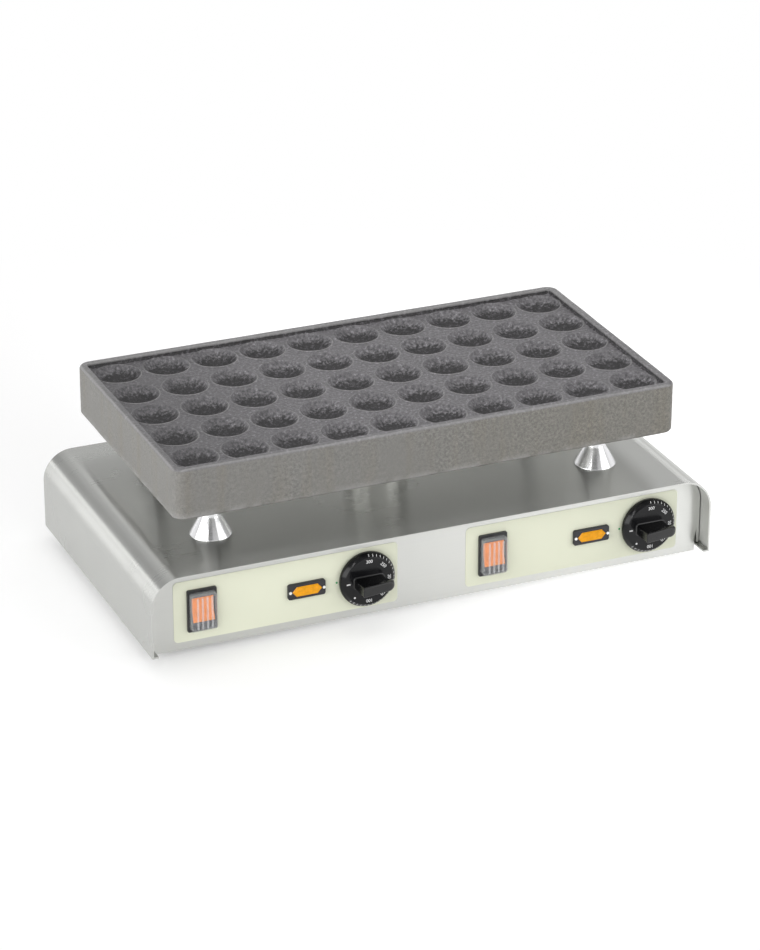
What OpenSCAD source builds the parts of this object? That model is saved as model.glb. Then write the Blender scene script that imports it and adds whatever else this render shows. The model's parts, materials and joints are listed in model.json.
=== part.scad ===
// Electric two-zone pancake griddle: a cast-iron plate with fifty round hollows stands on four
// turned posts above a bent stainless housing that holds the switches, lamps and thermostats.
// Millimetres. +Z is up and -Y is the front. The origin is on the floor, under the middle.

/* [Cover] */
// Width of the cover, side to side
cover_w = 520; // [510:5:560]
// Depth of the cover, front to back
cover_d = 280; // [270:5:320]
// Height of the cover's sides
cover_h = 71; // [68:1:85]
// Thickness of the cover sheet
cover_t = 1.5; // [1:0.1:2.5]
// Outer radius of the cover's two long bends
cover_bend_r = 27; // [12:1:30]
// Width of the lip turned inward along each lower edge
cover_lip = 4; // [3:0.5:6]

/* [Panels and bottom] */
// Distance from the cover's front or back edge to the panel behind it
panel_recess = 16.5; // [8:0.5:24]
// Thickness of the front and back panel sheet
panel_t = 1.2; // [1:0.1:2]
// Gap between a panel's side edge and the cover's side
panel_side_gap = 3; // [1:0.5:5]
// How far the panels reach below the cover's lower edge
panel_drop = 5; // [3:0.5:8]
// Width of the flanges bent inward from the panels
flange_w = 14; // [12:1:18]
// Thickness of the bottom pan sheet
pan_t = 1.2; // [1:0.1:2]
// Height of the bottom pan's side walls
pan_wall_h = 20; // [8:1:40]
// Distance between the fixing screws along each flange
flange_screw_pitch = 200; // [150:5:220]

/* [Feet] */
// Height of the rubber feet
foot_h = 7.2; // [6:0.1:14]
// Radius of the rubber feet
foot_r = 11; // [9:0.5:14]
// Distance from the cover's side to a foot's centre
foot_inset = 45; // [25:1:80]
// Gap between a foot and the panel flange beside it
foot_gap = 4.3; // [3:0.1:20]

/* [Control groups] */
// Distance from the end of the front panel to the control label
label_inset = 20.6; // [16:0.1:28]
// Width of a control label
label_w = 203; // [190:1:210]
// Height of a control label
label_h = 56; // [50:1:58]
// Corner radius of a control label
label_r = 4; // [1:0.5:8]
// Thickness of a control label
label_t = 0.4; // [0.2:0.1:1]
// Distance from the panel's lower edge to the controls' centre line
control_rise = 35; // [32:0.5:37]
// Switch centre, measured from the label's centre
switch_dx = -76.6; // [-80:0.2:-70]
// Pilot lamp centre, measured from the label's centre
lamp_dx = 17.4; // [0:0.2:22]
// Knob centre, measured from the label's centre
knob_dx = 72.2; // [68:0.2:74]

/* [Switch] */
// Width of the switch bezel
bezel_w = 26.3; // [25:0.1:28]
// Height of the switch bezel
bezel_h = 38.6; // [37:0.1:40]
// Thickness of the switch bezel
bezel_t = 2.2; // [1.5:0.1:3]
// Width of the switch body behind the panel
switch_w = 21.8; // [21.4:0.1:23]
// Height of the switch body behind the panel
switch_h = 32.6; // [32:0.1:34]
// Depth of the switch body behind the panel
switch_deep = 26; // [20:1:34]
// Wall of the switch body
switch_wall = 0.8; // [0.7:0.1:1]
// Angle that the rocker swings, end to end
rocker_swing = 18; // [10:1:20]
// Width of the clear splash boot
boot_w = 23.3; // [22.5:0.1:24]
// Height of the clear splash boot
boot_h = 33.6; // [33:0.1:35]
// How far the splash boot stands out from the panel
boot_out = 9.8; // [9.6:0.1:12]
// Wall of the splash boot
boot_wall = 0.7; // [0.4:0.1:0.8]

/* [Pilot lamp] */
// Width of the lamp bezel
lamp_w = 34; // [32:0.5:38]
// Height of the lamp bezel
lamp_h = 14; // [12:0.5:18]
// Thickness of the lamp bezel
lamp_t = 3; // [2:0.1:4]
// Width of the amber lens
lens_w = 27; // [22:0.5:28]
// Height of the amber lens
lens_h = 9; // [7:0.5:10]
// Depth of the lamp body behind the panel
lamp_deep = 22; // [15:1:30]

/* [Thermostat and knob] */
// Radius of the knob's disc
knob_r = 25.2; // [22:0.1:27]
// Height of the knob's disc above the label
knob_disc_h = 8; // [7:0.1:10]
// Length of the grip bar
grip_l = 27; // [20:0.5:36]
// Thickness of the grip bar
grip_t = 9; // [8:0.5:12]
// Height of the grip's pointer end above the label
grip_high = 28; // [24:0.5:32]
// Height of the grip's other end above the label
grip_low = 24; // [22:0.5:28]
// Radius of the thermostat spindle
spindle_r = 3; // [2.5:0.1:3.5]
// Width and height of the thermostat body
thermo_w = 38; // [34:1:40]
// Depth of the thermostat body behind the panel
thermo_deep = 32; // [26:1:45]
// Distance between the two thermostat screws
thermo_screw_pitch = 28; // [24:1:32]

/* [Posts and tube] */
// Distance from the plate's end to a post's centre
post_inset = 50.5; // [48:0.5:53]
// Distance from the middle to the posts, front to back
post_y = 70; // [68:0.5:74]
// Radius of a post where it stands on the cover
post_base_r = 18.5; // [15:0.5:22]
// Radius of a post's upper stem
post_stem_r = 8.5; // [7.5:0.5:11]
// Height of a post's tapered part
post_cone_h = 18; // [10:1:26]
// Radius of the post bolts
post_bolt_r = 4; // [3:0.5:5]
// Outer radius of the central wiring tube
tube_r = 28.5; // [25:0.5:34]
// Wall of the central wiring tube
tube_wall = 1.5; // [1:0.1:3]

/* [Baking plate] */
// Width of the baking plate
plate_w = 462; // [462:2:500]
// Depth of the baking plate
plate_d = 248; // [248:2:280]
// Height of the baking plate with its skirt
plate_h = 46; // [44:1:60]
// Gap between the cover's top and the plate's lower edge
plate_gap = 42.5; // [36:0.5:60]
// Corner radius of the plate, seen from above
plate_corner_r = 11; // [9:1:20]
// Radius along the plate's upper edge
plate_edge_r = 3; // [1:0.5:4]
// Thickness of the plate's skirt
plate_wall = 8; // [6:0.5:9]
// Thickness of the plate between its hollows
slab_t = 14; // [13:0.5:18]
// Width of the raised rim
rim_w = 7; // [4:0.5:7]
// Height of the raised rim above the baking surface
rim_h = 4.5; // [2:0.5:6]

/* [Hollows] */
// Number of hollows in a row, left to right
hollow_cols = 10; // [6:2:10]
// Number of rows of hollows, front to back
hollow_rows = 5; // [3:2:5]
// Distance between hollows, left to right
hollow_pitch_x = 45; // [43:0.5:45]
// Distance between hollows, front to back
hollow_pitch_y = 47.5; // [44:0.5:47.5]
// Radius of a hollow at the surface
hollow_r = 20; // [16:0.5:20]
// Depth of a hollow
hollow_depth = 9; // [6:0.5:9]
// Width of the low ring cast round each hollow
ring_w = 1.2; // [0.8:0.1:1.2]
// Height of the low ring cast round each hollow
ring_h = 0.6; // [0.4:0.1:1]

/* [Heating] */
// Radius of the tubular heating elements and of the sensor bulbs
element_r = 4; // [3:0.5:4]
// Distance between the straight legs of an element
leg_pitch = 60; // [58:1:62]
// Thickness of the clamp bars
bar_t = 3; // [2:0.5:4]
// Thickness of the insulation pad
insulation_t = 8; // [5:0.5:8]
// Thickness of the heat shield sheet
shield_t = 1; // [0.6:0.1:1.5]
// Height of the heat shield above the plate's lower edge
shield_inset = 3.5; // [2:0.5:4]
// Height of the heat shield's upturned rim
shield_rim_h = 10; // [6:1:14]

/* [Cable entry] */
// Distance from the middle to the cable gland, sideways
gland_x = 150; // [60:5:200]
// Radius of the cable gland's bore
gland_bore_r = 5.5; // [4:0.5:6]
// How far the cable gland stands out from the back panel
gland_out = 28.4; // [20:0.2:35]

/* [Hidden] */
$fn = 48;
eps = 0.01;
// Running clearance of a turning pin, and of a screw thread in its hole
run_gap = 0.05;
// Clearance of a screw or a body in its hole
hole_gap = 0.25;
// Clearance between loosely fitted sheets
sheet_gap = 0.4;

// Heights, from the floor up
pan_z = foot_h;
panel_z = pan_z - panel_t;
cover_z = panel_z + panel_drop;
cover_top = cover_z + cover_h;
cover_under = cover_top - cover_t;
pan_top = pan_z + pan_t;
control_z = panel_z + control_rise;
plate_z = cover_top + plate_gap;
plate_top = plate_z + plate_h;
surface_z = plate_top - rim_h;
slab_z = surface_z - slab_t;
shield_z = plate_z + shield_inset;
boss_z = shield_z + shield_t;
element_z = slab_z - element_r;
bar_z = slab_z - 2 * element_r - bar_t;

// Front to back
panel_y = cover_d / 2 - panel_recess;
panel_in_y = panel_y - panel_t;
label_y = -panel_y - label_t;

// Panel outline
panel_w = cover_w - 2 * cover_t - 2 * panel_side_gap;
panel_corner_r = max(cover_bend_r - cover_t - panel_side_gap, 2);
panel_foot_w = cover_w - 2 * cover_t - 2 * cover_lip - 1;
flange_len = panel_w - 2 * panel_corner_r - 4;
flange_screw_y = panel_in_y - flange_w / 2;
foot_x = cover_w / 2 - foot_inset;
foot_y = panel_in_y - flange_w - foot_gap - foot_r;
post_x = plate_w / 2 - post_inset;
zone_x = panel_w / 2 - label_inset - label_w / 2;
pan_w = cover_w - 2 * cover_t - 2 * cover_lip - 2;

// Switch
switch_hole_w = switch_w + 2 * hole_gap;
switch_hole_h = switch_h + 2 * hole_gap;
rocker_room_w = switch_w - 2 * switch_wall;
rocker_room_h = switch_h - 2 * switch_wall;
rocker_w = rocker_room_w - 0.8;
rocker_half = rocker_room_h / 2 - 1.7;
rocker_pin_r = 1.5;
rocker_pivot_y = -panel_y + 1.5;
// Rocker outline, measured from its pivot: [outward, up]
rocker_mid_out = 5.2;
rocker_end_out = 7.2;
rocker_edge_out = 4.2;
rocker_back_in = 4.5;
rocker_back_half = 7;
rocker_lens_t = 1.5;
rocker_lens_from = -5;
switch_tab_x = 5;
tab_w = 6.3;
tab_t = 0.8;
tab_l = 9;
switch_tab_z = 8;
lamp_tab_x = 7;
thermo_tab_x = 10;

// Lamp
lamp_body_w = lens_w - 1;
lamp_body_h = lens_h + 1;
lamp_rivet_x = lamp_w / 2 - 1.7;
lamp_rivet_r = 0.9;
lens_point = 4;
lens_seat = 1.6;
lens_proud = 1;

// Thermostat and knob
bush_r = spindle_r + 2;
bush_out = 2.4;
knob_gap = 0.8;
knob_back = 5;
hub_r = 7;
hub_start = 3;
knob_bevel = 3.4;
knob_rim_h = 4.4;
spindle_reach = 18;
can_r = 14;
can_t = 8;
m4_r = 2;
m4_head_r = 3.6;
m4_head_h = 2;
thermo_screw_l = 7;

// Fasteners
m5_r = 2.5;
m5_head_r = 4.6;
m5_head_h = 2.6;
foot_recess = 3.4;
nut_h = 3.2;
stud_l = 8;
bolt_head_h = 5.3;
washer_t = 1.6;
bolt_end_z = slab_z + 6;

// Heating
outer_bend_x = post_x + 4.5;
inner_bend_x = leg_pitch;
element_end_x = 32;
pin_r = 1.5;
pin_l = 10;
bar_w = 16;
bar_xs = [2 * hollow_pitch_x, 3 * hollow_pitch_x];
bar_half = 1.5 * leg_pitch + 14;
clamp_screw_end = slab_z + 7;
bulb_l = 90;
bulb_x = inner_bend_x + 14;
boss_r = 12;
cap_r = 1;
lead_r = 1.3;

// Terminal block and earth stud, on the pan
block_x = gland_x - 20;
block_y = 62;
block_w = 50;
block_d = 20;
block_h = 18;
block_pitch = 10;
earth_dx = 50;
earth_x = block_x - earth_dx;
earth_l = 16;
lug_gap = 6;

// Cable gland
thread_r = 10;
thread_l = 9;
gland_hex_r = 14;
gland_hex_h = 6;
gland_cap_r = 12.5;
gland_tip_r = 8.5;
locknut_w = 26;
locknut_h = 4;

// ---- Shared shapes ----

// Rounded rectangle, centred
module round_rect(w, h, r) {
    square([w - 2 * r, h], center = true);
    square([w, h - 2 * r], center = true);
    for (x = [-1, 1], y = [-1, 1])
        translate([x * (w / 2 - r), y * (h / 2 - r)]) circle(r);
}

module round_slab(w, d, h, r) {
    linear_extrude(h) round_rect(w, d, r);
}

// Places its children facing out of the front panel: local X is right, Y is up, Z is out
module on_front(x, y = -panel_y) {
    translate([x, y, control_z]) rotate([90, 0, 0]) children();
}

function unit(v) = v / norm(v);

// Slides an offset along a direction until it lies in the plane across n
function slid(offset, along, n) = offset - along * (offset * n) / (along * n);

// Side vector of each straight stretch, carried round the bends without twist
function carried(dirs, side, i = 0) =
    i == len(dirs) - 1 ? [side] :
    concat([side], carried(dirs,
        unit(slid(slid(side, dirs[i], dirs[i] + dirs[i + 1]), dirs[i + 1], dirs[i + 1])), i + 1));

// Thin eight-sided line that runs straight from point to point, mitred at its bends
module route(points, r) {
    sides = 8;
    last = len(points) - 1;
    dirs = [for (i = [0 : last - 1]) unit(points[i + 1] - points[i])];
    side = carried(dirs, unit(cross(dirs[0], [0.48, 0.6, 0.64])));
    rings = [for (i = [0 : last])
        let (k = max(i - 1, 0), n = dirs[k] + dirs[min(i, last - 1)])
        for (a = [0 : 360 / sides : 359])
            points[i] + slid(r * (cos(a) * side[k] + sin(a) * cross(dirs[k], side[k])), dirs[k], n)];
    walls = [for (i = [0 : last - 1], a = [0 : sides - 1])
        let (b = (a + 1) % sides)
        [i * sides + b, i * sides + a, (i + 1) * sides + a, (i + 1) * sides + b]];
    start = [for (a = [0 : sides - 1]) a];
    end = [for (a = [0 : sides - 1]) last * sides + sides - 1 - a];
    polyhedron(rings, concat([start, end], walls));
}

module hex_nut(across, h, hole_r) {
    difference() {
        cylinder(r = across / 2 / cos(30), h = h, $fn = 6);
        translate([0, 0, -eps]) cylinder(r = hole_r, h = h + 2 * eps);
    }
}

// Repeats its children at the four points of a rectangle about the middle
module at_four(x, y) {
    for (sx = [-1, 1], sy = [-1, 1]) translate([sx * x, sy * y, 0]) children();
}

// Repeats its children at the three fixing points along each flange
module at_flange_points() {
    for (i = [-1 : 1], sy = [-1, 1])
        translate([i * flange_screw_pitch, sy * flange_screw_y, 0]) children();
}

// ---- Housing ----

// Section of the cover, seen from the front, with Y as height above its lower edge
module cover_section() {
    inner_r = cover_bend_r - cover_t;
    inner_w = cover_w - 2 * cover_t;
    difference() {
        translate([0, cover_h / 2 - cover_bend_r])
            round_rect(cover_w, cover_h + 2 * cover_bend_r, cover_bend_r);
        translate([0, cover_h / 2 - cover_bend_r - cover_t])
            round_rect(inner_w, cover_h + 2 * cover_bend_r, inner_r);
        translate([-cover_w, -4 * cover_bend_r]) square([2 * cover_w, 4 * cover_bend_r]);
    }
    for (s = [-1, 1])
        translate([s * (inner_w / 2 - cover_lip / 2), cover_t / 2])
            square([cover_lip + 2 * eps, cover_t], center = true);
}

module top_cover() {
    color("silver")
    difference() {
        translate([0, cover_d / 2, cover_z]) rotate([90, 0, 0])
            linear_extrude(cover_d) cover_section();
        at_four(post_x, post_y)
            translate([0, 0, cover_under - 1]) cylinder(r = post_bolt_r + hole_gap, h = 5);
        translate([0, 0, cover_under - 1]) cylinder(r = tube_r - tube_wall, h = 5);
    }
}

// Outline of a panel, with Y as height above its lower edge
module panel_outline() {
    h = cover_under - panel_z;
    translate([0, h / 2 - panel_corner_r / 2]) square([panel_foot_w, h - panel_corner_r], center = true);
    difference() {
        translate([0, h / 2]) round_rect(panel_w, h, panel_corner_r);
        translate([-panel_w, -eps])
            square([2 * panel_w, panel_drop + cover_t + 1]);
    }
}

// A panel at the back, with its two flanges turned inward
module plain_panel() {
    translate([0, panel_y, panel_z]) rotate([90, 0, 0]) linear_extrude(panel_t) panel_outline();
    for (z = [panel_z, cover_under - panel_t])
        difference() {
            translate([-flange_len / 2, panel_in_y - flange_w, z])
                cube([flange_len, flange_w + eps, panel_t]);
            at_flange_points()
                translate([0, 0, z - 1]) cylinder(r = m4_r + hole_gap, h = panel_t + 2);
        }
}

module control_cuts() {
    depth = panel_t + 2;
    for (s = [-1, 1]) {
        on_front(s * zone_x + switch_dx) translate([0, 0, -depth / 2])
            cube([switch_hole_w, switch_hole_h, 2 * depth], center = true);
        on_front(s * zone_x + lamp_dx) {
            translate([0, 0, -depth / 2])
                cube([lamp_body_w + 2 * hole_gap, lamp_body_h + 2 * hole_gap, 2 * depth], center = true);
            for (e = [-1, 1]) translate([e * lamp_rivet_x, 0, -depth])
                cylinder(r = lamp_rivet_r + run_gap, h = 2 * depth);
        }
        on_front(s * zone_x + knob_dx) {
            translate([0, 0, -depth]) cylinder(r = bush_r + hole_gap, h = 2 * depth);
            for (e = [-1, 1]) translate([e * thermo_screw_pitch / 2, 0, -depth])
                cylinder(r = m4_r + hole_gap, h = 2 * depth);
        }
    }
}

module front_panel() {
    color("gainsboro")
    difference() {
        mirror([0, 1, 0]) plain_panel();
        control_cuts();
    }
}

module back_panel() {
    color("gainsboro")
    difference() {
        plain_panel();
        translate([gland_x, panel_y + 1, control_z]) rotate([90, 0, 0])
            cylinder(r = thread_r + hole_gap, h = panel_t + 2);
    }
}

module bottom_pan() {
    depth = 2 * panel_in_y - 2 * sheet_gap;
    color("lightgray")
    difference() {
        translate([-pan_w / 2, -depth / 2, pan_z]) {
            cube([pan_w, depth, pan_t]);
            cube([pan_t, depth, pan_wall_h]);
            translate([pan_w - pan_t, 0, 0]) cube([pan_t, depth, pan_wall_h]);
        }
        translate([0, 0, pan_z - 1]) {
            at_four(foot_x, foot_y) cylinder(r = m5_r + hole_gap, h = pan_t + 2);
            at_flange_points() cylinder(r = m4_r + hole_gap, h = pan_t + 2);
            translate([earth_x, block_y, 0]) cylinder(r = m5_r + run_gap, h = pan_t + 2);
        }
    }
}

module feet() {
    chamfer = 1.5;
    color("#303030")
    at_four(foot_x, foot_y)
        difference() {
            rotate_extrude() polygon([[0, 0], [foot_r - chamfer, 0], [foot_r, chamfer],
                [foot_r, foot_h], [0, foot_h]]);
            translate([0, 0, -1]) cylinder(r = m5_r + hole_gap, h = foot_h + 2);
            translate([0, 0, -1]) cylinder(r = m5_head_r + 0.6, h = foot_recess + 1);
        }
}

module foot_screws() {
    color("silver")
    at_four(foot_x, foot_y) {
        translate([0, 0, foot_recess - m5_head_h]) cylinder(r = m5_head_r, h = m5_head_h);
        cylinder_from(foot_recess - eps, pan_top + nut_h + 2, m5_r);
    }
}

module cylinder_from(z0, z1, r) {
    translate([0, 0, z0]) cylinder(r = r, h = z1 - z0);
}

module foot_nuts() {
    color("silver")
    at_four(foot_x, foot_y) translate([0, 0, pan_top]) hex_nut(8, nut_h, m5_r + run_gap);
}

module panel_screws() {
    color("silver")
    at_flange_points() {
        translate([0, 0, panel_z - m4_head_h]) cylinder(r = m4_head_r, h = m4_head_h);
        cylinder_from(panel_z - eps, pan_top + nut_h + 1, m4_r);
    }
}

module panel_nuts() {
    color("silver")
    at_flange_points() translate([0, 0, pan_top]) hex_nut(7, nut_h, m4_r + run_gap);
}

module cover_studs() {
    color("silver")
    at_flange_points() cylinder_from(cover_under - stud_l, cover_under, m4_r);
}

module cover_nuts() {
    color("silver")
    at_flange_points()
        translate([0, 0, cover_under - panel_t - nut_h]) hex_nut(7, nut_h, m4_r + run_gap);
}

// ---- Controls ----

module label(s) {
    color("#e2e4ce")
    on_front(s * zone_x)
        linear_extrude(label_t)
            difference() {
                round_rect(label_w, label_h, label_r);
                translate([switch_dx, 0]) square([switch_hole_w, switch_hole_h], center = true);
                translate([lamp_dx, 0])
                    square([lamp_w - 1, lamp_body_h + 2 * hole_gap], center = true);
                translate([knob_dx, 0]) circle(thermo_screw_pitch / 2 + m4_head_r + 1);
            }
}

// Holds the rocker's pivot bores, so it stays a set of plain boxes and cylinders
module switch_body(s) {
    front = label_t + bezel_t;
    color("#181818")
    on_front(s * zone_x + switch_dx)
        difference() {
            union() {
                translate([0, 0, label_t]) round_slab(bezel_w, bezel_h, bezel_t, 1.5);
                translate([-switch_w / 2, -switch_h / 2, -switch_deep])
                    cube([switch_w, switch_h, switch_deep + front - eps]);
            }
            translate([-rocker_room_w / 2, -rocker_room_h / 2, -switch_deep + 3])
                cube([rocker_room_w, rocker_room_h, switch_deep + front]);
            translate([-switch_w, 0, -panel_y - rocker_pivot_y]) rotate([0, 90, 0])
                cylinder(r = rocker_pin_r + run_gap, h = 2 * switch_w);
        }
}

// Side view of the rocker in the middle of its swing: X is inward, Y is up
module rocker_outline() {
    polygon([[-rocker_mid_out, 0], [-rocker_end_out, rocker_half], [-rocker_edge_out, rocker_half],
        [rocker_back_in, rocker_back_half], [rocker_back_in, -rocker_back_half],
        [-rocker_edge_out, -rocker_half], [-rocker_end_out, -rocker_half]]);
}

module rocker_lens_outline() {
    difference() {
        rocker_outline();
        translate([rocker_lens_t, 0]) rocker_outline();
        translate([-20, -40 + rocker_lens_from]) square([40, 40]);
        translate([-rocker_edge_out - 0.5, rocker_half - 3]) square([40, 40]);
    }
}

// Swings the rocker about its pivot to the rest position, lower end out
module rocker_at_rest(s) {
    translate([s * zone_x + switch_dx, rocker_pivot_y, control_z])
        rotate([-rocker_swing / 2, 0, 0])
            children();
}

module rocker_prism(w) {
    translate([-w / 2, 0, 0]) rotate([90, 0, 90]) linear_extrude(w) children();
}

module rocker(s) {
    pin_l = rocker_room_w + 2 * switch_wall - 0.1;
    color("#3a3a3c")
    rocker_at_rest(s) {
        difference() {
            rocker_prism(rocker_w) rocker_outline();
            rocker_prism(rocker_w - 2) rocker_lens_outline();
        }
        translate([-pin_l / 2, 0, 0]) rotate([0, 90, 0]) cylinder(r = rocker_pin_r, h = pin_l);
    }
}

module rocker_lens(s) {
    color("#f08040")
    rocker_at_rest(s) rocker_prism(rocker_w - 2) rocker_lens_outline();
}

module boot(s) {
    start = label_t + bezel_t;
    color("#c8ccd0", 0.5)
    on_front(s * zone_x + switch_dx)
        difference() {
            translate([0, 0, start]) round_slab(boot_w, boot_h, boot_out - start, 2.5);
            translate([0, 0, start - 1])
                round_slab(boot_w - 2 * boot_wall, boot_h - 2 * boot_wall,
                    boot_out - start - boot_wall + 1, 2.5 - boot_wall);
        }
}

module switch_terminals() {
    color("gold")
    for (s = [-1, 1], x = [-switch_tab_x, switch_tab_x], z = [-switch_tab_z, switch_tab_z])
        on_front(s * zone_x + switch_dx) translate([x, z, -switch_deep - tab_l / 2])
            cube([tab_t, tab_w, tab_l], center = true);
}

module lens_outline(grow) {
    w = lens_w / 2 + grow;
    h = lens_h / 2 + grow;
    polygon([[-w, 0], [-w + lens_point, h], [w - lens_point, h], [w, 0],
        [w - lens_point, -h], [-w + lens_point, -h]]);
}

module lamp_body(s) {
    front = label_t + lamp_t;
    color("#202024")
    on_front(s * zone_x + lamp_dx)
        difference() {
            union() {
                translate([0, 0, label_t]) round_slab(lamp_w, lamp_h, lamp_t, 2);
                translate([-lamp_body_w / 2, -lamp_body_h / 2, -lamp_deep])
                    cube([lamp_body_w, lamp_body_h, lamp_deep + front - 1]);
                for (x = [-lamp_tab_x, lamp_tab_x]) translate([x, 0, -lamp_deep - tab_l / 2])
                    cube([tab_t, tab_w, tab_l + eps], center = true);
            }
            translate([0, 0, front - lens_seat]) linear_extrude(lens_seat + 1) lens_outline(run_gap);
            for (e = [-1, 1]) translate([e * lamp_rivet_x, 0, -1])
                cylinder(r = lamp_rivet_r + run_gap, h = front + 2);
        }
}

module lamp_lens(s) {
    color("orange")
    on_front(s * zone_x + lamp_dx, label_y - lamp_t + lens_seat) {
        linear_extrude(lens_seat) lens_outline(0);
        translate([0, 0, lens_seat - eps]) linear_extrude(lens_proud + eps) lens_outline(-0.6);
    }
}

module lamp_rivets() {
    front = label_t + lamp_t;
    color("whitesmoke")
    for (s = [-1, 1], e = [-1, 1])
        on_front(s * zone_x + lamp_dx) translate([e * lamp_rivet_x, 0, 0]) {
            cylinder_from(front, front + 0.6, 1.3);
            cylinder_from(-panel_t - 1, front + eps, lamp_rivet_r);
            cylinder_from(-panel_t - 1, -panel_t, 1.4);
        }
}

// Body, bush and rear can of a thermostat, with its two terminals on top
module thermostat(s) {
    color("lightsteelblue")
    on_front(s * zone_x + knob_dx) {
        difference() {
            union() {
                translate([-thermo_w / 2, -thermo_w / 2, -panel_t - thermo_deep])
                    cube([thermo_w, thermo_w, thermo_deep]);
                cylinder_from(-panel_t - eps, bush_out, bush_r);
                cylinder_from(-panel_t - thermo_deep - can_t, -panel_t - thermo_deep + eps, can_r);
                for (x = [-thermo_tab_x, thermo_tab_x])
                    translate([x, thermo_w / 2 + tab_l / 2, -thermo_deep / 2])
                    cube([tab_w, tab_l + eps, tab_t], center = true);
            }
            cylinder_from(-panel_t - thermo_deep / 2, bush_out + 1, spindle_r + run_gap);
            for (e = [-1, 1]) translate([e * thermo_screw_pitch / 2, 0, 0])
                cylinder_from(-panel_t - thermo_screw_l - 1, 1, m4_r + run_gap);
        }
    }
}

module thermostat_screws() {
    color("silver")
    for (s = [-1, 1], e = [-1, 1])
        on_front(s * zone_x + knob_dx) translate([e * thermo_screw_pitch / 2, 0, 0]) {
            cylinder_from(0, m4_head_h, m4_head_r);
            cylinder_from(-panel_t - thermo_screw_l, eps, m4_r);
        }
}

// D-shaped shaft along Z, with its flat on the -X side
module d_shaft(z0, z1, r) {
    difference() {
        cylinder_from(z0, z1, r);
        translate([-r - spindle_r * 0.6, -2 * r, z0 - 1]) cube([r, 4 * r, z1 - z0 + 2]);
    }
}

module spindle(s) {
    color("silver")
    on_front(s * zone_x + knob_dx) {
        cylinder_from(-panel_t - thermo_deep / 2 + 0.5, hub_start + label_t, spindle_r);
        d_shaft(hub_start + label_t - eps, label_t + spindle_reach, spindle_r);
    }
}

module knob(s) {
    color("#242428")
    on_front(s * zone_x + knob_dx, label_y)
        difference() {
            union() {
                rotate_extrude($fn = 96) polygon([[0, knob_gap], [knob_r - 0.8, knob_gap],
                    [knob_r, knob_gap + 0.8], [knob_r, knob_rim_h],
                    [knob_r - knob_bevel, knob_disc_h], [0, knob_disc_h]]);
                translate([0, grip_t / 2, 0]) rotate([90, 0, 0]) linear_extrude(grip_t)
                    polygon([[-grip_l / 2, knob_disc_h - eps], [grip_l / 2, knob_disc_h - eps],
                        [grip_l / 2, grip_low], [-grip_l / 2, grip_high]]);
            }
            difference() {
                cylinder_from(knob_gap - 1, knob_back, knob_r - knob_bevel);
                cylinder_from(hub_start, knob_back + 1, hub_r);
            }
            d_shaft(hub_start - 1, spindle_reach + 0.5, spindle_r + run_gap);
        }
}

// ---- Post, tube and plate ----

module posts() {
    h = shield_z - cover_top;
    color("whitesmoke")
    at_four(post_x, post_y) translate([0, 0, cover_top])
        difference() {
            rotate_extrude() polygon([[0, 0], [post_base_r, 0], [post_base_r, 1],
                [post_stem_r, post_cone_h], [post_stem_r, h], [0, h]]);
            translate([0, 0, -1]) cylinder(r = post_bolt_r + hole_gap, h = h + 2);
        }
}

module post_bolts() {
    head_z = cover_under - washer_t - bolt_head_h;
    color("silver")
    at_four(post_x, post_y) {
        translate([0, 0, head_z])
            cylinder(r = 1.625 * post_bolt_r / cos(30), h = bolt_head_h, $fn = 6);
        cylinder_from(head_z + bolt_head_h - eps, bolt_end_z - 1, post_bolt_r);
    }
}

module post_washers() {
    color("silver")
    at_four(post_x, post_y) translate([0, 0, cover_under - washer_t])
        difference() {
            cylinder(r = 2 * post_bolt_r + 1, h = washer_t);
            translate([0, 0, -1]) cylinder(r = post_bolt_r + hole_gap, h = washer_t + 2);
        }
}

module wiring_tube() {
    color("silver")
    translate([0, 0, cover_top])
        difference() {
            cylinder(r = tube_r, h = shield_z - cover_top, $fn = 96);
            translate([0, 0, -1])
                cylinder(r = tube_r - tube_wall, h = shield_z - cover_top + 2, $fn = 96);
        }
}

// Block with rounded corners and a rounded upper edge
module soft_block(w, d, h, r, e) {
    round_slab(w, d, h - e, r);
    translate([0, 0, h - e]) {
        round_slab(w - 2 * e, d - 2 * e, e, r - e);
        for (s = [-1, 1]) {
            translate([-w / 2 + r, s * (d / 2 - e), 0]) rotate([0, 90, 0]) cylinder(r = e, h = w - 2 * r);
            translate([s * (w / 2 - e), d / 2 - r, 0]) rotate([90, 0, 0]) cylinder(r = e, h = d - 2 * r);
        }
        at_four(w / 2 - r, d / 2 - r) rotate_extrude() translate([r - e, 0]) circle(e);
    }
}

// Repeats its children at the centre of each hollow
module at_hollows() {
    for (i = [0 : hollow_cols - 1], j = [0 : hollow_rows - 1])
        translate([(i - (hollow_cols - 1) / 2) * hollow_pitch_x,
            (j - (hollow_rows - 1) / 2) * hollow_pitch_y, surface_z])
            children();
}

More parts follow.
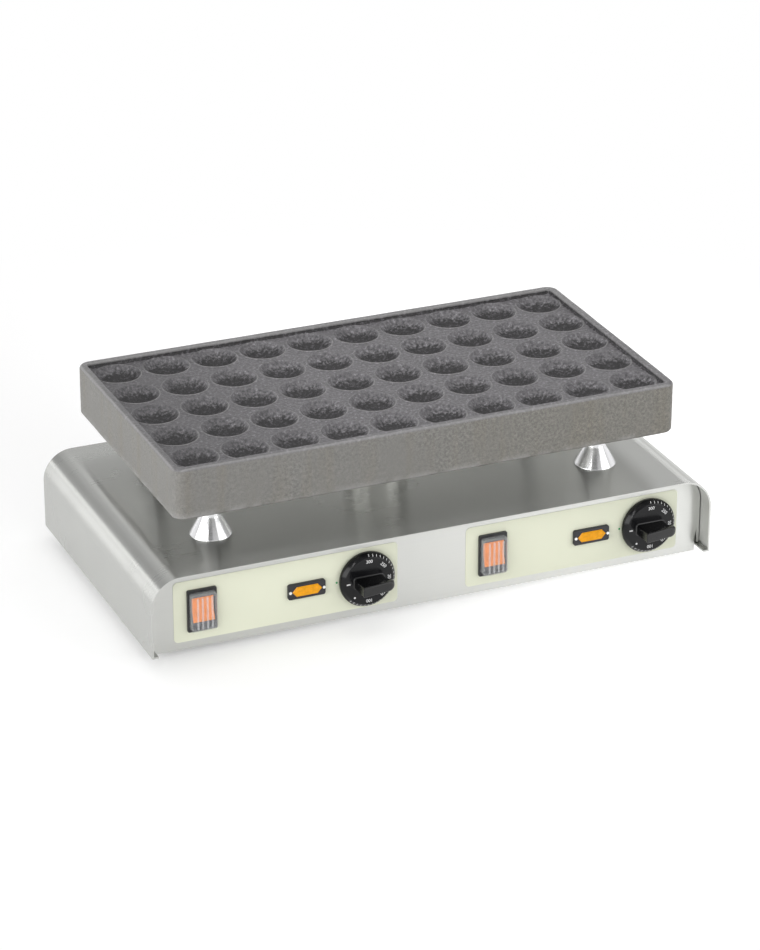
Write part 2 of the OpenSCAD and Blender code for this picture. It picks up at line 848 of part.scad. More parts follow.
module baking_plate() {
    sphere_r = (hollow_r * hollow_r + hollow_depth * hollow_depth) / (2 * hollow_depth);
    color("#6e6c70")
    difference() {
        union() {
            difference() {
                translate([0, 0, plate_z])
                    soft_block(plate_w, plate_d, plate_h, plate_corner_r, plate_edge_r);
                translate([0, 0, surface_z])
                    round_slab(plate_w - 2 * rim_w, plate_d - 2 * rim_w, rim_h + 1,
                        max(plate_corner_r - rim_w, 2));
                translate([0, 0, plate_z - 1])
                    round_slab(plate_w - 2 * plate_wall, plate_d - 2 * plate_wall,
                        slab_z - plate_z + 1, max(plate_corner_r - plate_wall, 2));
            }
            at_four(post_x, post_y) cylinder_from(boss_z, slab_z + 1, boss_r);
            at_hollows() translate([0, 0, -1]) cylinder(r = hollow_r + ring_w, h = 1 + ring_h);
        }
        at_hollows() translate([0, 0, sphere_r - hollow_depth]) sphere(sphere_r, $fn = 64);
        at_four(post_x, post_y) cylinder_from(boss_z - 1, bolt_end_z, post_bolt_r + run_gap);
        at_clamp_points() cylinder_from(slab_z - 1, clamp_screw_end + 1, m5_r + run_gap);
    }
}

// Repeats its children at each clamp screw
module at_clamp_points() {
    for (x = bar_xs) at_four(x, leg_pitch) children();
}

// ---- Heating ----

// Half-circle of element tube, open towards -X
module return_bend() {
    rotate([0, 0, -90]) rotate_extrude(angle = 180, $fn = 64)
        translate([leg_pitch / 2, 0]) circle(element_r, $fn = 24);
}

module leg(x0, x1, y, r) {
    translate([x0, y, 0]) rotate([0, 90, 0]) cylinder(r = r, h = x1 - x0, $fn = 24);
}

// One heating element under the right half of the plate: four legs and three return bends
module element() {
    translate([0, 0, element_z]) {
        for (s = [-1, 1]) {
            leg(element_end_x, outer_bend_x, s * 1.5 * leg_pitch, element_r);
            leg(element_end_x - pin_l, element_end_x + 1, s * 1.5 * leg_pitch, pin_r);
            leg(inner_bend_x, outer_bend_x, s * 0.5 * leg_pitch, element_r);
            translate([outer_bend_x, s * leg_pitch, 0]) return_bend();
        }
        translate([inner_bend_x, 0, 0]) rotate([0, 0, 180]) return_bend();
    }
}

module right_element() {
    color("dimgray") element();
}

module left_element() {
    color("dimgray") mirror([1, 0, 0]) element();
}

module clamp_bars() {
    color("silver")
    difference() {
        for (x = bar_xs, s = [-1, 1])
            translate([s * x - bar_w / 2, -bar_half, bar_z]) cube([bar_w, 2 * bar_half, bar_t]);
        at_clamp_points() cylinder_from(bar_z - 1, bar_z + bar_t + 1, m5_r + hole_gap);
    }
}

module clamp_screws() {
    color("silver")
    at_clamp_points() {
        cylinder_from(bar_z - m5_head_h, bar_z, m5_head_r);
        cylinder_from(bar_z - eps, clamp_screw_end, m5_r);
    }
}

module insulation_pad() {
    inset = plate_wall + 2 * sheet_gap + shield_t;
    color("khaki")
    difference() {
        translate([0, 0, boss_z])
            round_slab(plate_w - 2 * inset, plate_d - 2 * inset, insulation_t, 2);
        at_four(post_x, post_y)
            cylinder_from(boss_z - 1, boss_z + insulation_t + 1, boss_r + sheet_gap);
        cylinder_from(boss_z - 1, boss_z + insulation_t + 1, tube_r - tube_wall);
    }
}

module heat_shield() {
    w = plate_w - 2 * plate_wall - 2 * sheet_gap;
    d = plate_d - 2 * plate_wall - 2 * sheet_gap;
    r = max(plate_corner_r - plate_wall - sheet_gap, 2);
    color("gainsboro")
    difference() {
        translate([0, 0, shield_z]) round_slab(w, d, shield_rim_h, r);
        translate([0, 0, boss_z])
            round_slab(w - 2 * shield_t, d - 2 * shield_t, shield_rim_h, r - shield_t / 2);
        at_four(post_x, post_y) cylinder_from(shield_z - 1, boss_z + 1, post_bolt_r + hole_gap);
        cylinder_from(shield_z - 1, boss_z + 1, tube_r - tube_wall);
    }
}

// Sensor bulb clamped under the plate, with its capillary down the tube to the thermostat
module sensor(s) {
    low = bar_z + cap_r;
    drop_x = 9;
    can_y = -panel_in_y + thermo_deep + can_t;
    color("darkgoldenrod") {
        translate([0, 0, element_z])
            if (s > 0) leg(bulb_x, bulb_x + bulb_l, 0, element_r);
            else leg(-bulb_x - bulb_l, -bulb_x, 0, element_r);
        route([[s * (bulb_x + 1), 0, element_z], [s * (bulb_x - 6), 0, low], [s * drop_x, 0, low],
            [s * drop_x, 0, cover_under - 14], [s * zone_x + knob_dx, can_y + 20, control_z],
            [s * zone_x + knob_dx, can_y, control_z]], cap_r);
    }
}

// ---- Wiring ----

module terminal_block() {
    color("ivory")
    translate([block_x, block_y, pan_top])
        difference() {
            translate([-block_w / 2, -block_d / 2, 0]) cube([block_w, block_d, block_h]);
            for (i = [-2 : 2]) translate([i * block_pitch, 0, block_h / 2]) {
                rotate([90, 0, 0])
                    translate([0, 0, -block_d]) cylinder(r = 2.8 + run_gap, h = 2 * block_d, $fn = 24);
                cylinder(r = 2, h = block_h, $fn = 24);
            }
        }
}

// Brass sleeve of each pole, with its clamp screw
module terminal_clamps() {
    color("gold")
    for (i = [-2 : 2]) translate([block_x + i * block_pitch, block_y, pan_top + block_h / 2]) {
        difference() {
            rotate([90, 0, 0]) translate([0, 0, -block_d / 2 + 1])
                cylinder(r = 2.8, h = block_d - 2, $fn = 24);
            rotate([90, 0, 0]) translate([0, 0, -block_d])
                cylinder(r = lead_r + 0.3, h = 2 * block_d, $fn = 24);
        }
        cylinder_from(2.5, 6, 1.8);
    }
}

module earth_stud() {
    color("gold")
    translate([earth_x, block_y, 0]) {
        cylinder_from(pan_z, pan_top + earth_l, m5_r);
        for (z = [pan_top, pan_top + lug_gap]) translate([0, 0, z]) hex_nut(8, nut_h, m5_r + run_gap);
    }
}

module cable_gland() {
    color("#202020")
    translate([gland_x, panel_y, control_z]) rotate([-90, 0, 0])
        difference() {
            union() {
                cylinder(r = gland_hex_r, h = gland_hex_h, $fn = 6);
                rotate_extrude() polygon([[0, -panel_t - thread_l], [thread_r, -panel_t - thread_l],
                    [thread_r, gland_hex_h - 1], [gland_cap_r, gland_hex_h - 1],
                    [gland_cap_r, gland_out - gland_hex_h], [gland_tip_r, gland_out], [0, gland_out]]);
            }
            cylinder_from(-panel_t - thread_l - 1, gland_out + 1, gland_bore_r);
        }
}

module gland_locknut() {
    color("#202020")
    translate([gland_x, panel_in_y, control_z]) rotate([90, 0, 0])
        hex_nut(locknut_w, locknut_h, thread_r + run_gap);
}

// Leads between the terminal block, the switches, the thermostats and the lamps
module control_leads() {
    tab_y = -panel_y + switch_deep + tab_l;
    block_face = block_y - block_d / 2;
    block_z = pan_top + block_h / 2;
    lamp_y = -panel_y + lamp_deep + tab_l;
    thermo_tab_y = -panel_y + thermo_deep / 2;
    tab_top = control_z + thermo_w / 2 + tab_l;
    turn_z = cover_under - 9;
    straight = 6;
    color("#404040")
    for (s = [-1, 1]) {
        sx = s * zone_x + switch_dx;
        lx = s * zone_x + lamp_dx;
        kx = s * zone_x + knob_dx;
        pole = block_x + s * block_pitch;
        side_x = kx - thermo_w / 2 - straight;
        // Block to switch
        route([[pole, block_face + 3, block_z], [pole, block_face - 14 - 6 * s, block_z],
            [sx + switch_tab_x, tab_y + 24 - 6 * s, block_z],
            [sx + switch_tab_x, tab_y + straight, control_z - switch_tab_z],
            [sx + switch_tab_x, tab_y, control_z - switch_tab_z]], lead_r);
        // Switch to thermostat
        route([[sx - switch_tab_x, tab_y, control_z + switch_tab_z],
            [sx - switch_tab_x, tab_y + straight, control_z + switch_tab_z],
            [sx - switch_tab_x, tab_y + 8, turn_z],
            [kx - thermo_tab_x, tab_y + 8, turn_z], [kx - thermo_tab_x, thermo_tab_y, turn_z],
            [kx - thermo_tab_x, thermo_tab_y, tab_top]], lead_r);
        // Lamp to the thermostat's first terminal
        route([[lx + lamp_tab_x, lamp_y, control_z], [lx + lamp_tab_x, lamp_y + straight, control_z],
            [side_x, lamp_y + straight, control_z], [side_x, thermo_tab_y, tab_top - tab_l / 2],
            [kx - thermo_tab_x - tab_w / 2, thermo_tab_y, tab_top - tab_l / 2]], lead_r);
        // Lamp to the switch
        route([[lx - lamp_tab_x, lamp_y, control_z], [lx - lamp_tab_x, lamp_y + straight, control_z],
            [sx + switch_tab_x, tab_y + straight, control_z + switch_tab_z],
            [sx + switch_tab_x, tab_y, control_z + switch_tab_z]], lead_r);
    }
}

// Leads from the thermostats and the terminal block up the tube to the elements
module heater_leads() {
    drop_x = 14;
    drop_y = 12;
    low = boss_z + insulation_t + 4;
    turn_z = cover_under - 4;
    block_face = block_y - block_d / 2;
    block_z = pan_top + block_h / 2;
    thermo_tab_y = -panel_y + thermo_deep / 2;
    tab_top = control_z + thermo_w / 2 + tab_l;
    pin_end = element_end_x - pin_l;
    straight = 4;
    color("whitesmoke")
    for (s = [-1, 1]) {
        kx = s * zone_x + knob_dx;
        pole = block_x + 2 * s * block_pitch;
        back_z = turn_z - 14 - 4 * s;
        // Front end of the element, to the thermostat
        route([[s * pin_end, -1.5 * leg_pitch, element_z],
            [s * (pin_end - straight), -1.5 * leg_pitch, element_z],
            [s * drop_x, -1.5 * leg_pitch + 6, low], [s * drop_x, -drop_y, low],
            [s * drop_x, -drop_y, turn_z], [kx + thermo_tab_x, thermo_tab_y, turn_z],
            [kx + thermo_tab_x, thermo_tab_y, tab_top]], lead_r);
        // Back end of the element, to the terminal block
        route([[s * pin_end, 1.5 * leg_pitch, element_z],
            [s * (pin_end - straight), 1.5 * leg_pitch, element_z],
            [s * drop_x, 1.5 * leg_pitch - 6, low], [s * drop_x, drop_y, low],
            [s * drop_x, drop_y, back_z], [pole, block_face - 14, back_z],
            [pole, block_face - 6, block_z], [pole, block_face + 3, block_z]], lead_r);
    }
}

// ---- Nodes ----

module left_label() { label(-1); }
module right_label() { label(1); }
module left_switch_body() { switch_body(-1); }
module right_switch_body() { switch_body(1); }
module left_rocker() { rocker(-1); }
module right_rocker() { rocker(1); }
module left_rocker_lens() { rocker_lens(-1); }
module right_rocker_lens() { rocker_lens(1); }
module left_boot() { boot(-1); }
module right_boot() { boot(1); }
module left_lamp_body() { lamp_body(-1); }
module right_lamp_body() { lamp_body(1); }
module left_lamp_lens() { lamp_lens(-1); }
module right_lamp_lens() { lamp_lens(1); }
module left_thermostat() { thermostat(-1); }
module right_thermostat() { thermostat(1); }
module left_spindle() { spindle(-1); }
module right_spindle() { spindle(1); }
module left_knob() { knob(-1); }
module right_knob() { knob(1); }
module left_sensor() { sensor(-1); }
module right_sensor() { sensor(1); }

top_cover();
front_panel();
back_panel();
bottom_pan();
feet();
foot_screws();
foot_nuts();
panel_screws();
panel_nuts();
cover_studs();
cover_nuts();
left_label();
right_label();
left_switch_body();
right_switch_body();
left_rocker();
right_rocker();
left_rocker_lens();
right_rocker_lens();
left_boot();
right_boot();
switch_terminals();
left_lamp_body();
right_lamp_body();
left_lamp_lens();
right_lamp_lens();
lamp_rivets();
left_thermostat();
right_thermostat();
thermostat_screws();
left_spindle();
right_spindle();
left_knob();
right_knob();
left_sensor();
right_sensor();
terminal_block();
terminal_clamps();
earth_stud();
cable_gland();
gland_locknut();
wiring_tube();
posts();
post_bolts();
post_washers();
baking_plate();
left_element();
right_element();
clamp_bars();
clamp_screws();
insulation_pad();
heat_shield();
control_leads();
heater_leads();
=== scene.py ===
import json
from math import cos, exp, hypot, pi, radians, sin, sqrt

import bmesh
import bpy
from mathutils import Matrix, Vector, noise


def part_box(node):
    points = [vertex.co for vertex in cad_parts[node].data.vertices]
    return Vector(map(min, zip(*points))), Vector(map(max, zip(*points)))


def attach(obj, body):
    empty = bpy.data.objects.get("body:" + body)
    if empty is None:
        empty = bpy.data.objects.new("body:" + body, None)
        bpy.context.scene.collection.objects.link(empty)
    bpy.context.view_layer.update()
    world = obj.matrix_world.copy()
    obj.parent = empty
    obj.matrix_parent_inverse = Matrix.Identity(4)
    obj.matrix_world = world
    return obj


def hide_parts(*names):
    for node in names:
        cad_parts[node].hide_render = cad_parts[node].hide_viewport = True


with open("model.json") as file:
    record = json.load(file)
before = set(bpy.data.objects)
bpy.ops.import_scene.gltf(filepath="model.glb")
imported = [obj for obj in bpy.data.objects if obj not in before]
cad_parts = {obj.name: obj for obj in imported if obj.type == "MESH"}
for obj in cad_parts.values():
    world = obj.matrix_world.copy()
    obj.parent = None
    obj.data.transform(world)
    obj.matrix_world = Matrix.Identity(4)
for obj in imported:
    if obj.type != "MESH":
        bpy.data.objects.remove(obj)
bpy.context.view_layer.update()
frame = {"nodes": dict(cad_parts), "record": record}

MM = 0.001
WHITE = (1.0, 1.0, 1.0)
WELD = 0.002 * MM

# ---- Photographic set-up ----

CAMERA_PLACE = Vector((-1.13999, -2.67495, 1.42187))
CAMERA_AIM = Vector((0.356949, 0.833919, -0.420911))
LENS_MM = 138.14
SENSOR_MM = 36.0

# ---- Helpers for scene objects ----


def link(obj):
    bpy.context.scene.collection.objects.link(obj)
    return obj


class Shape:
    """Collects shells, each a list of points and faces, for one mesh."""

    def __init__(self):
        self.vertices = []
        self.faces = []

    def add(self, vertices, faces):
        start = len(self.vertices)
        self.vertices += [Vector(vertex) for vertex in vertices]
        self.faces += [tuple(start + i for i in face) for face in faces]

    def loft(self, rings, cap_start=True, cap_end=True):
        """Skin over rings of equally many points, each anticlockwise seen from the last ring's side."""
        count = len(rings[0])
        vertices = [point for ring in rings for point in ring]
        faces = []
        for low in range(0, count * (len(rings) - 1), count):
            for i in range(count):
                j = (i + 1) % count
                faces.append((low + i, low + j, low + count + j, low + count + i))
        if cap_start:
            faces.append(tuple(reversed(range(count))))
        if cap_end:
            faces.append(tuple(range(len(vertices) - count, len(vertices))))
        self.add(vertices, faces)

    def turn(self, profile, steps, centre=(0, 0)):
        """Turned solid: profile holds (radius, height) points from the foot up, none on the axis."""
        turns = [2 * pi * i / steps for i in range(steps)]
        self.loft([[(centre[0] + radius * cos(turn), centre[1] + radius * sin(turn), height)
                    for turn in turns] for radius, height in profile])

    def block(self, outline, levels):
        """Solid over a flat outline."""
        self.loft(rings_over(outline, levels))

    def object(self, name, material, smooth_below=35):
        """Mesh object with smooth shading, sharp at edges that turn more than smooth_below degrees."""
        mesh = bpy.data.meshes.new(name)
        mesh.from_pydata([tuple(vertex) for vertex in self.vertices], [], self.faces)
        weld = bmesh.new()
        weld.from_mesh(mesh)
        bmesh.ops.remove_doubles(weld, verts=weld.verts, dist=WELD)
        weld.to_mesh(mesh)
        weld.free()
        mesh.materials.append(material)
        mesh.shade_smooth()
        mesh.set_sharp_from_angle(angle=radians(smooth_below))
        return link(bpy.data.objects.new(name, mesh))


def arc(centre, radius, start, end, steps):
    """Points on a circular arc, angles in degrees."""
    angles = [radians(start + (end - start) * i / steps) for i in range(steps + 1)]
    return [(centre[0] + radius * cos(a), centre[1] + radius * sin(a)) for a in angles]


def rounded_outline(width, depth, radius, corner_steps=8, side_steps=(1, 1)):
    """Rounded rectangle round the origin, anticlockwise from the upper end of its right side."""
    half_w = width / 2 - radius
    half_d = depth / 2 - radius
    corners = ((half_w, half_d), (-half_w, half_d), (-half_w, -half_d), (half_w, -half_d))
    arcs = [arc(corner, radius, 90 * i, 90 * i + 90, corner_steps) for i, corner in enumerate(corners)]
    points = []
    for i, here in enumerate(arcs):
        points += here
        start, end = Vector(here[-1]), Vector(arcs[(i + 1) % 4][0])
        count = side_steps[i % 2]
        points += [tuple(start.lerp(end, step / count)) for step in range(1, count)]
    return points


def inset_outline(points, distance):
    """Moves each side of an anticlockwise outline inwards."""
    moved = []
    for i, point in enumerate(points):
        here = Vector(point)
        before = (here - Vector(points[i - 1])).normalized()
        after = (Vector(points[(i + 1) % len(points)]) - here).normalized()
        first = Vector((-before.y, before.x))
        second = Vector((-after.y, after.x))
        moved.append(tuple(here + (first + second) * distance / (1 + first.dot(second))))
    return moved


def rings_over(outline, levels):
    """Rings of a flat outline at each of the (inset, height) levels."""
    return [[(x, y, height) for x, y in inset_outline(outline, inset)] for inset, height in levels]


def soft_levels(start, end, radius, steps=4):
    """Levels of a block from start up to end, with its upper edge rounded."""
    return [(0.0, start)] + arc((radius, end - radius), radius, 180, 90, steps)


def piece(obj, body, slot, *replaced):
    """Makes obj ride on a body and lets it stand for CAD nodes; the slot argument is not used."""
    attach(obj, body)
    if replaced:
        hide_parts(*replaced)
    return obj


def middle(node):
    low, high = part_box(node)
    return (low + high) / 2


# Face of the printed labels, which the controls' heights are measured from
LABEL_FACE_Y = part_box("left_label")[0].y


def front_object(shape, name, material, node, smooth_below=35):
    """Object on the label face, at a control's middle: its X is to the right, Y up and Z out."""
    obj = shape.object(name, materials[material], smooth_below)
    place = middle(node)
    place.y = LABEL_FACE_Y
    obj.matrix_world = Matrix.Translation(place) @ Matrix.Rotation(radians(90), 4, "X")
    return obj


# ---- Camera, floor and light ----


def add_camera():
    data = bpy.data.cameras.new("photo_camera")
    data.lens = LENS_MM
    data.sensor_width = SENSOR_MM
    data.clip_end = 100
    camera = link(bpy.data.objects.new("photo_camera", data))
    camera.location = CAMERA_PLACE
    camera.rotation_euler = CAMERA_AIM.to_track_quat("-Z", "Y").to_euler()
    bpy.context.scene.camera = camera


def feed(tree, node, inputs):
    """Fills a node's inputs: a socket is linked, and any other value is set."""
    for name, value in inputs.items():
        if isinstance(value, bpy.types.NodeSocket):
            tree.links.new(value, node.inputs[name])
        else:
            node.inputs[name].default_value = value


def new_node(tree, kind, inputs):
    node = tree.nodes.new(kind)
    feed(tree, node, inputs)
    return node


def ramp_between(tree, source, start, end, low, high, curve="SMOOTHSTEP"):
    """Change from low to high while a socket runs from start to end."""
    node = new_node(tree, "ShaderNodeMapRange", {"Value": source, "From Min": start, "From Max": end,
                                                 "To Min": low, "To Max": high})
    node.interpolation_type = curve
    return node.outputs[0]


def combine(tree, operation, *terms):
    node = new_node(tree, "ShaderNodeMath", dict(enumerate(terms)))
    node.operation = operation
    return node.outputs[0]


def along(tree, vector, axis):
    """One component of a vector socket."""
    return new_node(tree, "ShaderNodeSeparateXYZ", {0: vector}).outputs[axis]


def vector_math(tree, operation, *vectors):
    node = new_node(tree, "ShaderNodeVectorMath", dict(enumerate(vectors)))
    node.operation = operation
    return node.outputs


def mix_shaders(tree, share, first, second):
    """Shader that goes from first to second while share goes from 0 to 1."""
    return new_node(tree, "ShaderNodeMixShader", {0: share, 1: first, 2: second}).outputs[0]


def seen_ray(tree):
    """1 for rays that show the set itself: from the camera, or by reflection or transmission."""
    path = tree.nodes.new("ShaderNodeLightPath")
    total = path.outputs["Is Camera Ray"]
    for name in ("Is Glossy Ray", "Is Transmission Ray"):
        total = combine(tree, "MAXIMUM", total, path.outputs[name])
    return total


# Brightness of the room. Directions point from the object; closeness to one is 1 straight along it.
STUDIO_FILL = 0.62
WALL_LIGHT = 1.1
CEILING_LIGHT = 0.60
HORIZON_END = (0.25, 0.36)
WALL_STRIPS = ((-0.485, 0.834, 0.264), (0.515, 0.834, 0.185))
STRIP_CLOSENESS = (0.9955, 0.999)
STRIP_LIGHT = 2.4
# Direction, closeness at which the dark begins, and the share of light left in its middle
DARK_CORNERS = (((-0.367, 0.834, 0.412), 0.965, 0.42), ((-0.314, -0.735, 0.586), 0.95, 0.34))
DARK_CLOSENESS = 0.992


def towards(tree, coords, direction):
    """How closely a ray points in a direction: 1 when it does exactly."""
    return vector_math(tree, "DOT_PRODUCT", coords, Vector(direction).normalized())["Value"]


def room_brightness(tree):
    """White wall up to the horizon and a greyer ceiling, with dark corners and bright strips."""
    coords = tree.nodes.new("ShaderNodeTexCoord").outputs["Generated"]
    total = ramp_between(tree, along(tree, coords, "Z"), *HORIZON_END, WALL_LIGHT, CEILING_LIGHT)
    for direction, edge, share in DARK_CORNERS:
        corner = ramp_between(tree, towards(tree, coords, direction), edge, DARK_CLOSENESS, 1.0, share)
        total = combine(tree, "MULTIPLY", total, corner)
    for direction in WALL_STRIPS:
        strip = ramp_between(tree, towards(tree, coords, direction), *STRIP_CLOSENESS, 0.0, STRIP_LIGHT)
        total = combine(tree, "ADD", total, strip)
    return total


def light_world():
    """The room as reflections show it, and an even soft fill for everything else."""
    world = bpy.data.worlds.new("studio")
    bpy.context.scene.world = world
    world.use_nodes = True
    tree = world.node_tree
    tree.nodes.clear()
    lights = []
    for strength in (STUDIO_FILL, room_brightness(tree)):
        inputs = {"Color": (*WHITE, 1), "Strength": strength}
        lights.append(new_node(tree, "ShaderNodeBackground", inputs).outputs[0])
    shown = mix_shaders(tree, seen_ray(tree), *lights)
    new_node(tree, "ShaderNodeOutputWorld", {"Surface": shown})


LAMP_AIM = Vector((0, 0, 0.1))
# Place, width, height and radiance
SOFTBOXES = {
    "left_softbox": (Vector((-1.75, -0.45, 0.50)), 1.9, 1.1, 2.9),
    "right_softbox": (Vector((1.30, -1.45, 0.70)), 1.6, 1.1, 1.75),
    "strip_light": (Vector((-1.05, -1.10, 1.05)), 0.12, 0.9, 9.0),
    "top_softbox": (Vector((0.1, 0.3, 1.9)), 1.6, 1.2, 1.1),
}


def add_softbox(name, place, width, height, radiance):
    """A soft rectangular lamp of even radiance that faces the object."""
    data = bpy.data.lights.new(name, "AREA")
    data.shape = "RECTANGLE"
    data.size = width
    data.size_y = height
    data.energy = radiance * width * height * pi
    lamp = link(bpy.data.objects.new(name, data))
    lamp.location = place
    lamp.rotation_euler = (LAMP_AIM - place).to_track_quat("-Z", "Y").to_euler()


def light_studio():
    for name, values in SOFTBOXES.items():
        add_softbox(name, *values)


FLOOR_RADIUS = 30.0
FLOOR_COLOUR = (0.82, 0.82, 0.82)
FLOOR_STEPS = 96
FLOOR_LIFT = (0.20, 0.60)
FLOOR_LIFT_SPAN = (-0.24, 0.30)
FLOOR_REACH = (0.40, 0.80)


def floor_material():
    """Matt white that keeps shadows near the object, brighter to the right, and plain white further out."""
    material = bpy.data.materials.new("studio_floor")
    material.use_nodes = True
    tree = material.node_tree
    tree.nodes.clear()
    coords = tree.nodes.new("ShaderNodeTexCoord").outputs["Object"]
    matt = new_node(tree, "ShaderNodeBsdfDiffuse", {"Color": (*FLOOR_COLOUR, 1)}).outputs[0]
    strength = ramp_between(tree, along(tree, coords, "X"), *FLOOR_LIFT_SPAN, *FLOOR_LIFT)
    lift = new_node(tree, "ShaderNodeEmission", {"Strength": strength}).outputs[0]
    near = new_node(tree, "ShaderNodeAddShader", {0: matt, 1: lift}).outputs[0]
    far = tree.nodes.new("ShaderNodeEmission").outputs[0]
    reach = ramp_between(tree, vector_math(tree, "LENGTH", coords)["Value"], *FLOOR_REACH, 0, 1)
    shown = mix_shaders(tree, seen_ray(tree), matt, mix_shaders(tree, reach, near, far))
    new_node(tree, "ShaderNodeOutputMaterial", {"Surface": shown})
    return material


def add_floor():
    rim = [(x, y, 0) for x, y in arc((0, 0), FLOOR_RADIUS, 0, 360, FLOOR_STEPS)[:-1]]
    disc = Shape()
    disc.add(rim, [tuple(range(FLOOR_STEPS))])
    disc.object("floor", floor_material())


# ---- Materials ----


class Finish:
    """A Principled material whose colour, roughness and relief can follow procedural patterns."""

    def __init__(self, name, colour, roughness, metallic=0.0):
        self.material = bpy.data.materials.new(name)
        self.material.use_nodes = True
        self.tree = self.material.node_tree
        self.shader = self.tree.nodes["Principled BSDF"]
        self.colour = colour
        self.set("Base Color", (*colour, 1))
        self.set("Roughness", roughness)
        self.set("Metallic", metallic)
        self.coords = self.node("ShaderNodeTexCoord").outputs["Object"]

    def node(self, kind, inputs=()):
        return new_node(self.tree, kind, dict(inputs))

    def set(self, socket, value):
        feed(self.tree, self.shader, {socket: value})

    def noise(self, scale, detail=3, stretch=(1, 1, 1), roughness=0.55):
        """Noise with scale cells per metre, stretched along each axis."""
        place = self.node("ShaderNodeMapping", {"Vector": self.coords, "Scale": stretch}).outputs[0]
        inputs = {"Vector": place, "Scale": scale, "Detail": detail, "Roughness": roughness}
        return self.node("ShaderNodeTexNoise", inputs).outputs["Fac"]

    def cells(self, scale):
        return self.node("ShaderNodeTexVoronoi", {"Vector": self.coords, "Scale": scale}).outputs["Distance"]

    def ramp(self, source, *stops):
        """Colours along a 0 to 1 source: stops are (position, colour)."""
        node = self.node("ShaderNodeValToRGB", {0: source})
        elements = node.color_ramp.elements
        while len(elements) < len(stops):
            elements.new(1.0)
        for element, (position, colour) in zip(elements, stops):
            element.position = position
            element.color = (*colour, 1)
        return node.outputs[0]

    def tinted(self, source, dark, pale, from_low=0.3, from_high=0.7):
        """The finish's own colour, darkened and lightened by factors along a pattern."""
        return self.ramp(source, (from_low, shade(self.colour, dark)), (from_high, shade(self.colour, pale)))

    def spread(self, source, low, high, from_low=0.3, from_high=0.7):
        """Maps a 0 to 1 pattern onto values from low to high."""
        return ramp_between(self.tree, source, from_low, from_high, low, high, "LINEAR")

    def blend(self, fac, first, second, mode="MIX"):
        """Mixes two colour sockets or colours by a pattern or a number."""
        node = self.node("ShaderNodeMix")
        node.data_type = "RGBA"
        node.blend_type = mode
        colours = [(*value, 1) if isinstance(value, tuple) else value for value in (first, second)]
        feed(self.tree, node, {0: fac, 6: colours[0], 7: colours[1]})
        return node.outputs[2]

    def sum(self, first, second, share=1.0):
        return combine(self.tree, "MULTIPLY_ADD", second, share, first)

    def normal_and(self, operation, *vectors):
        """The surface's own direction taken through a vector operation."""
        normal = self.node("ShaderNodeNewGeometry").outputs["Normal"]
        return vector_math(self.tree, operation, normal, *vectors)["Vector"]

    def brush(self, axis, amount):
        """Lengthens highlights across grain lines that lie in the surface, square to an axis."""
        self.set("Tangent", self.normal_and("CROSS_PRODUCT", axis))
        self.set("Anisotropic", amount)
        self.set("Anisotropic Rotation", QUARTER_TURN)

    def attribute(self, name):
        node = self.node("ShaderNodeAttribute")
        node.attribute_name = name
        return node.outputs["Fac"]

    def paint(self, source):
        self.set("Base Color", source)

    def polish(self, source):
        self.set("Roughness", source)

    def relief(self, source, height, strength=1.0):
        """Small surface relief: height in metres."""
        inputs = {"Height": source, "Distance": height, "Strength": strength}
        self.set("Normal", self.node("ShaderNodeBump", inputs).outputs[0])


# Axes for brush(): a little off the true ones, so that no surface lies exactly square to them
ALONG_Y = (0.03, 1, 0.02)
UPRIGHT = (0.02, 0.03, 1)
QUARTER_TURN = 0.25


def shade(colour, factor):
    return tuple(min(channel * factor, 1.0) for channel in colour)


def brushed_steel(name, colour, roughness, stretch, axis):
    """Satin stainless steel: fine grain lines square to an axis, faint cloudy handling marks."""
    finish = Finish(name, colour, roughness, metallic=1.0)
    grain = finish.noise(1.0, detail=4, stretch=stretch)
    clouds = finish.noise(9, detail=3)
    tint = finish.tinted(clouds, 0.96, 1.03)
    lines = finish.ramp(grain, (0.3, shade(WHITE, 0.98)), (0.7, WHITE))
    finish.paint(finish.blend(1.0, tint, lines, "MULTIPLY"))
    finish.polish(finish.sum(finish.spread(clouds, roughness - 0.03, roughness + 0.05),
                             finish.spread(grain, -1, 1), 0.006))
    finish.relief(grain, GRAIN_HEIGHT)
    finish.brush(axis, 0.95)
    return finish.material


def zinc_plate(name, colour):
    finish = Finish(name, colour, 0.35, metallic=1.0)
    spangle = finish.cells(220)
    finish.paint(finish.tinted(spangle, 0.88, 1.06, 0.1))
    finish.polish(finish.spread(spangle, 0.28, 0.44, 0.0, 0.8))
    return finish.material


def moulded_plastic(name, colour, roughness, shine=0.5):
    """Injection-moulded plastic with a faint skin texture and slight tone drift."""
    finish = Finish(name, colour, roughness)
    skin = finish.noise(2600, detail=2)
    drift = finish.noise(60, detail=2)
    finish.paint(finish.tinted(drift, 0.9, 1.1))
    finish.polish(finish.spread(drift, roughness - 0.04, roughness + 0.06))
    finish.relief(skin, 0.01 * MM)
    finish.set("Specular IOR Level", shine)
    return finish.material


def rubber(name):
    finish = Finish(name, (0.022, 0.022, 0.024), 0.72)
    skin = finish.noise(1500, detail=4)
    dust = finish.noise(140, detail=5)
    finish.paint(finish.ramp(dust, (0.35, (0.018, 0.018, 0.02)), (0.75, (0.05, 0.048, 0.046))))
    finish.relief(skin, 0.05 * MM)
    return finish.material


def film(name):
    """Satin printed film of the control labels."""
    finish = Finish(name, (0.80, 0.82, 0.66), 0.42)
    drift = finish.noise(12, detail=2)
    speck = finish.noise(3200, detail=2)
    finish.paint(finish.tinted(drift, 0.97, 1.02))
    finish.polish(finish.spread(speck, 0.36, 0.5))
    finish.relief(speck, 0.006 * MM)
    return finish.material


SEASONED = (0.030, 0.028, 0.030)
IRON = (0.159, 0.153, 0.162)
IRON_SIDE = (0.184, 0.180, 0.169)
# Paler tone of the bright edge lines: partly rubbed wear, partly painted highlight
WEAR_AND_HIGHLIGHT_TONE = (0.36, 0.355, 0.35)


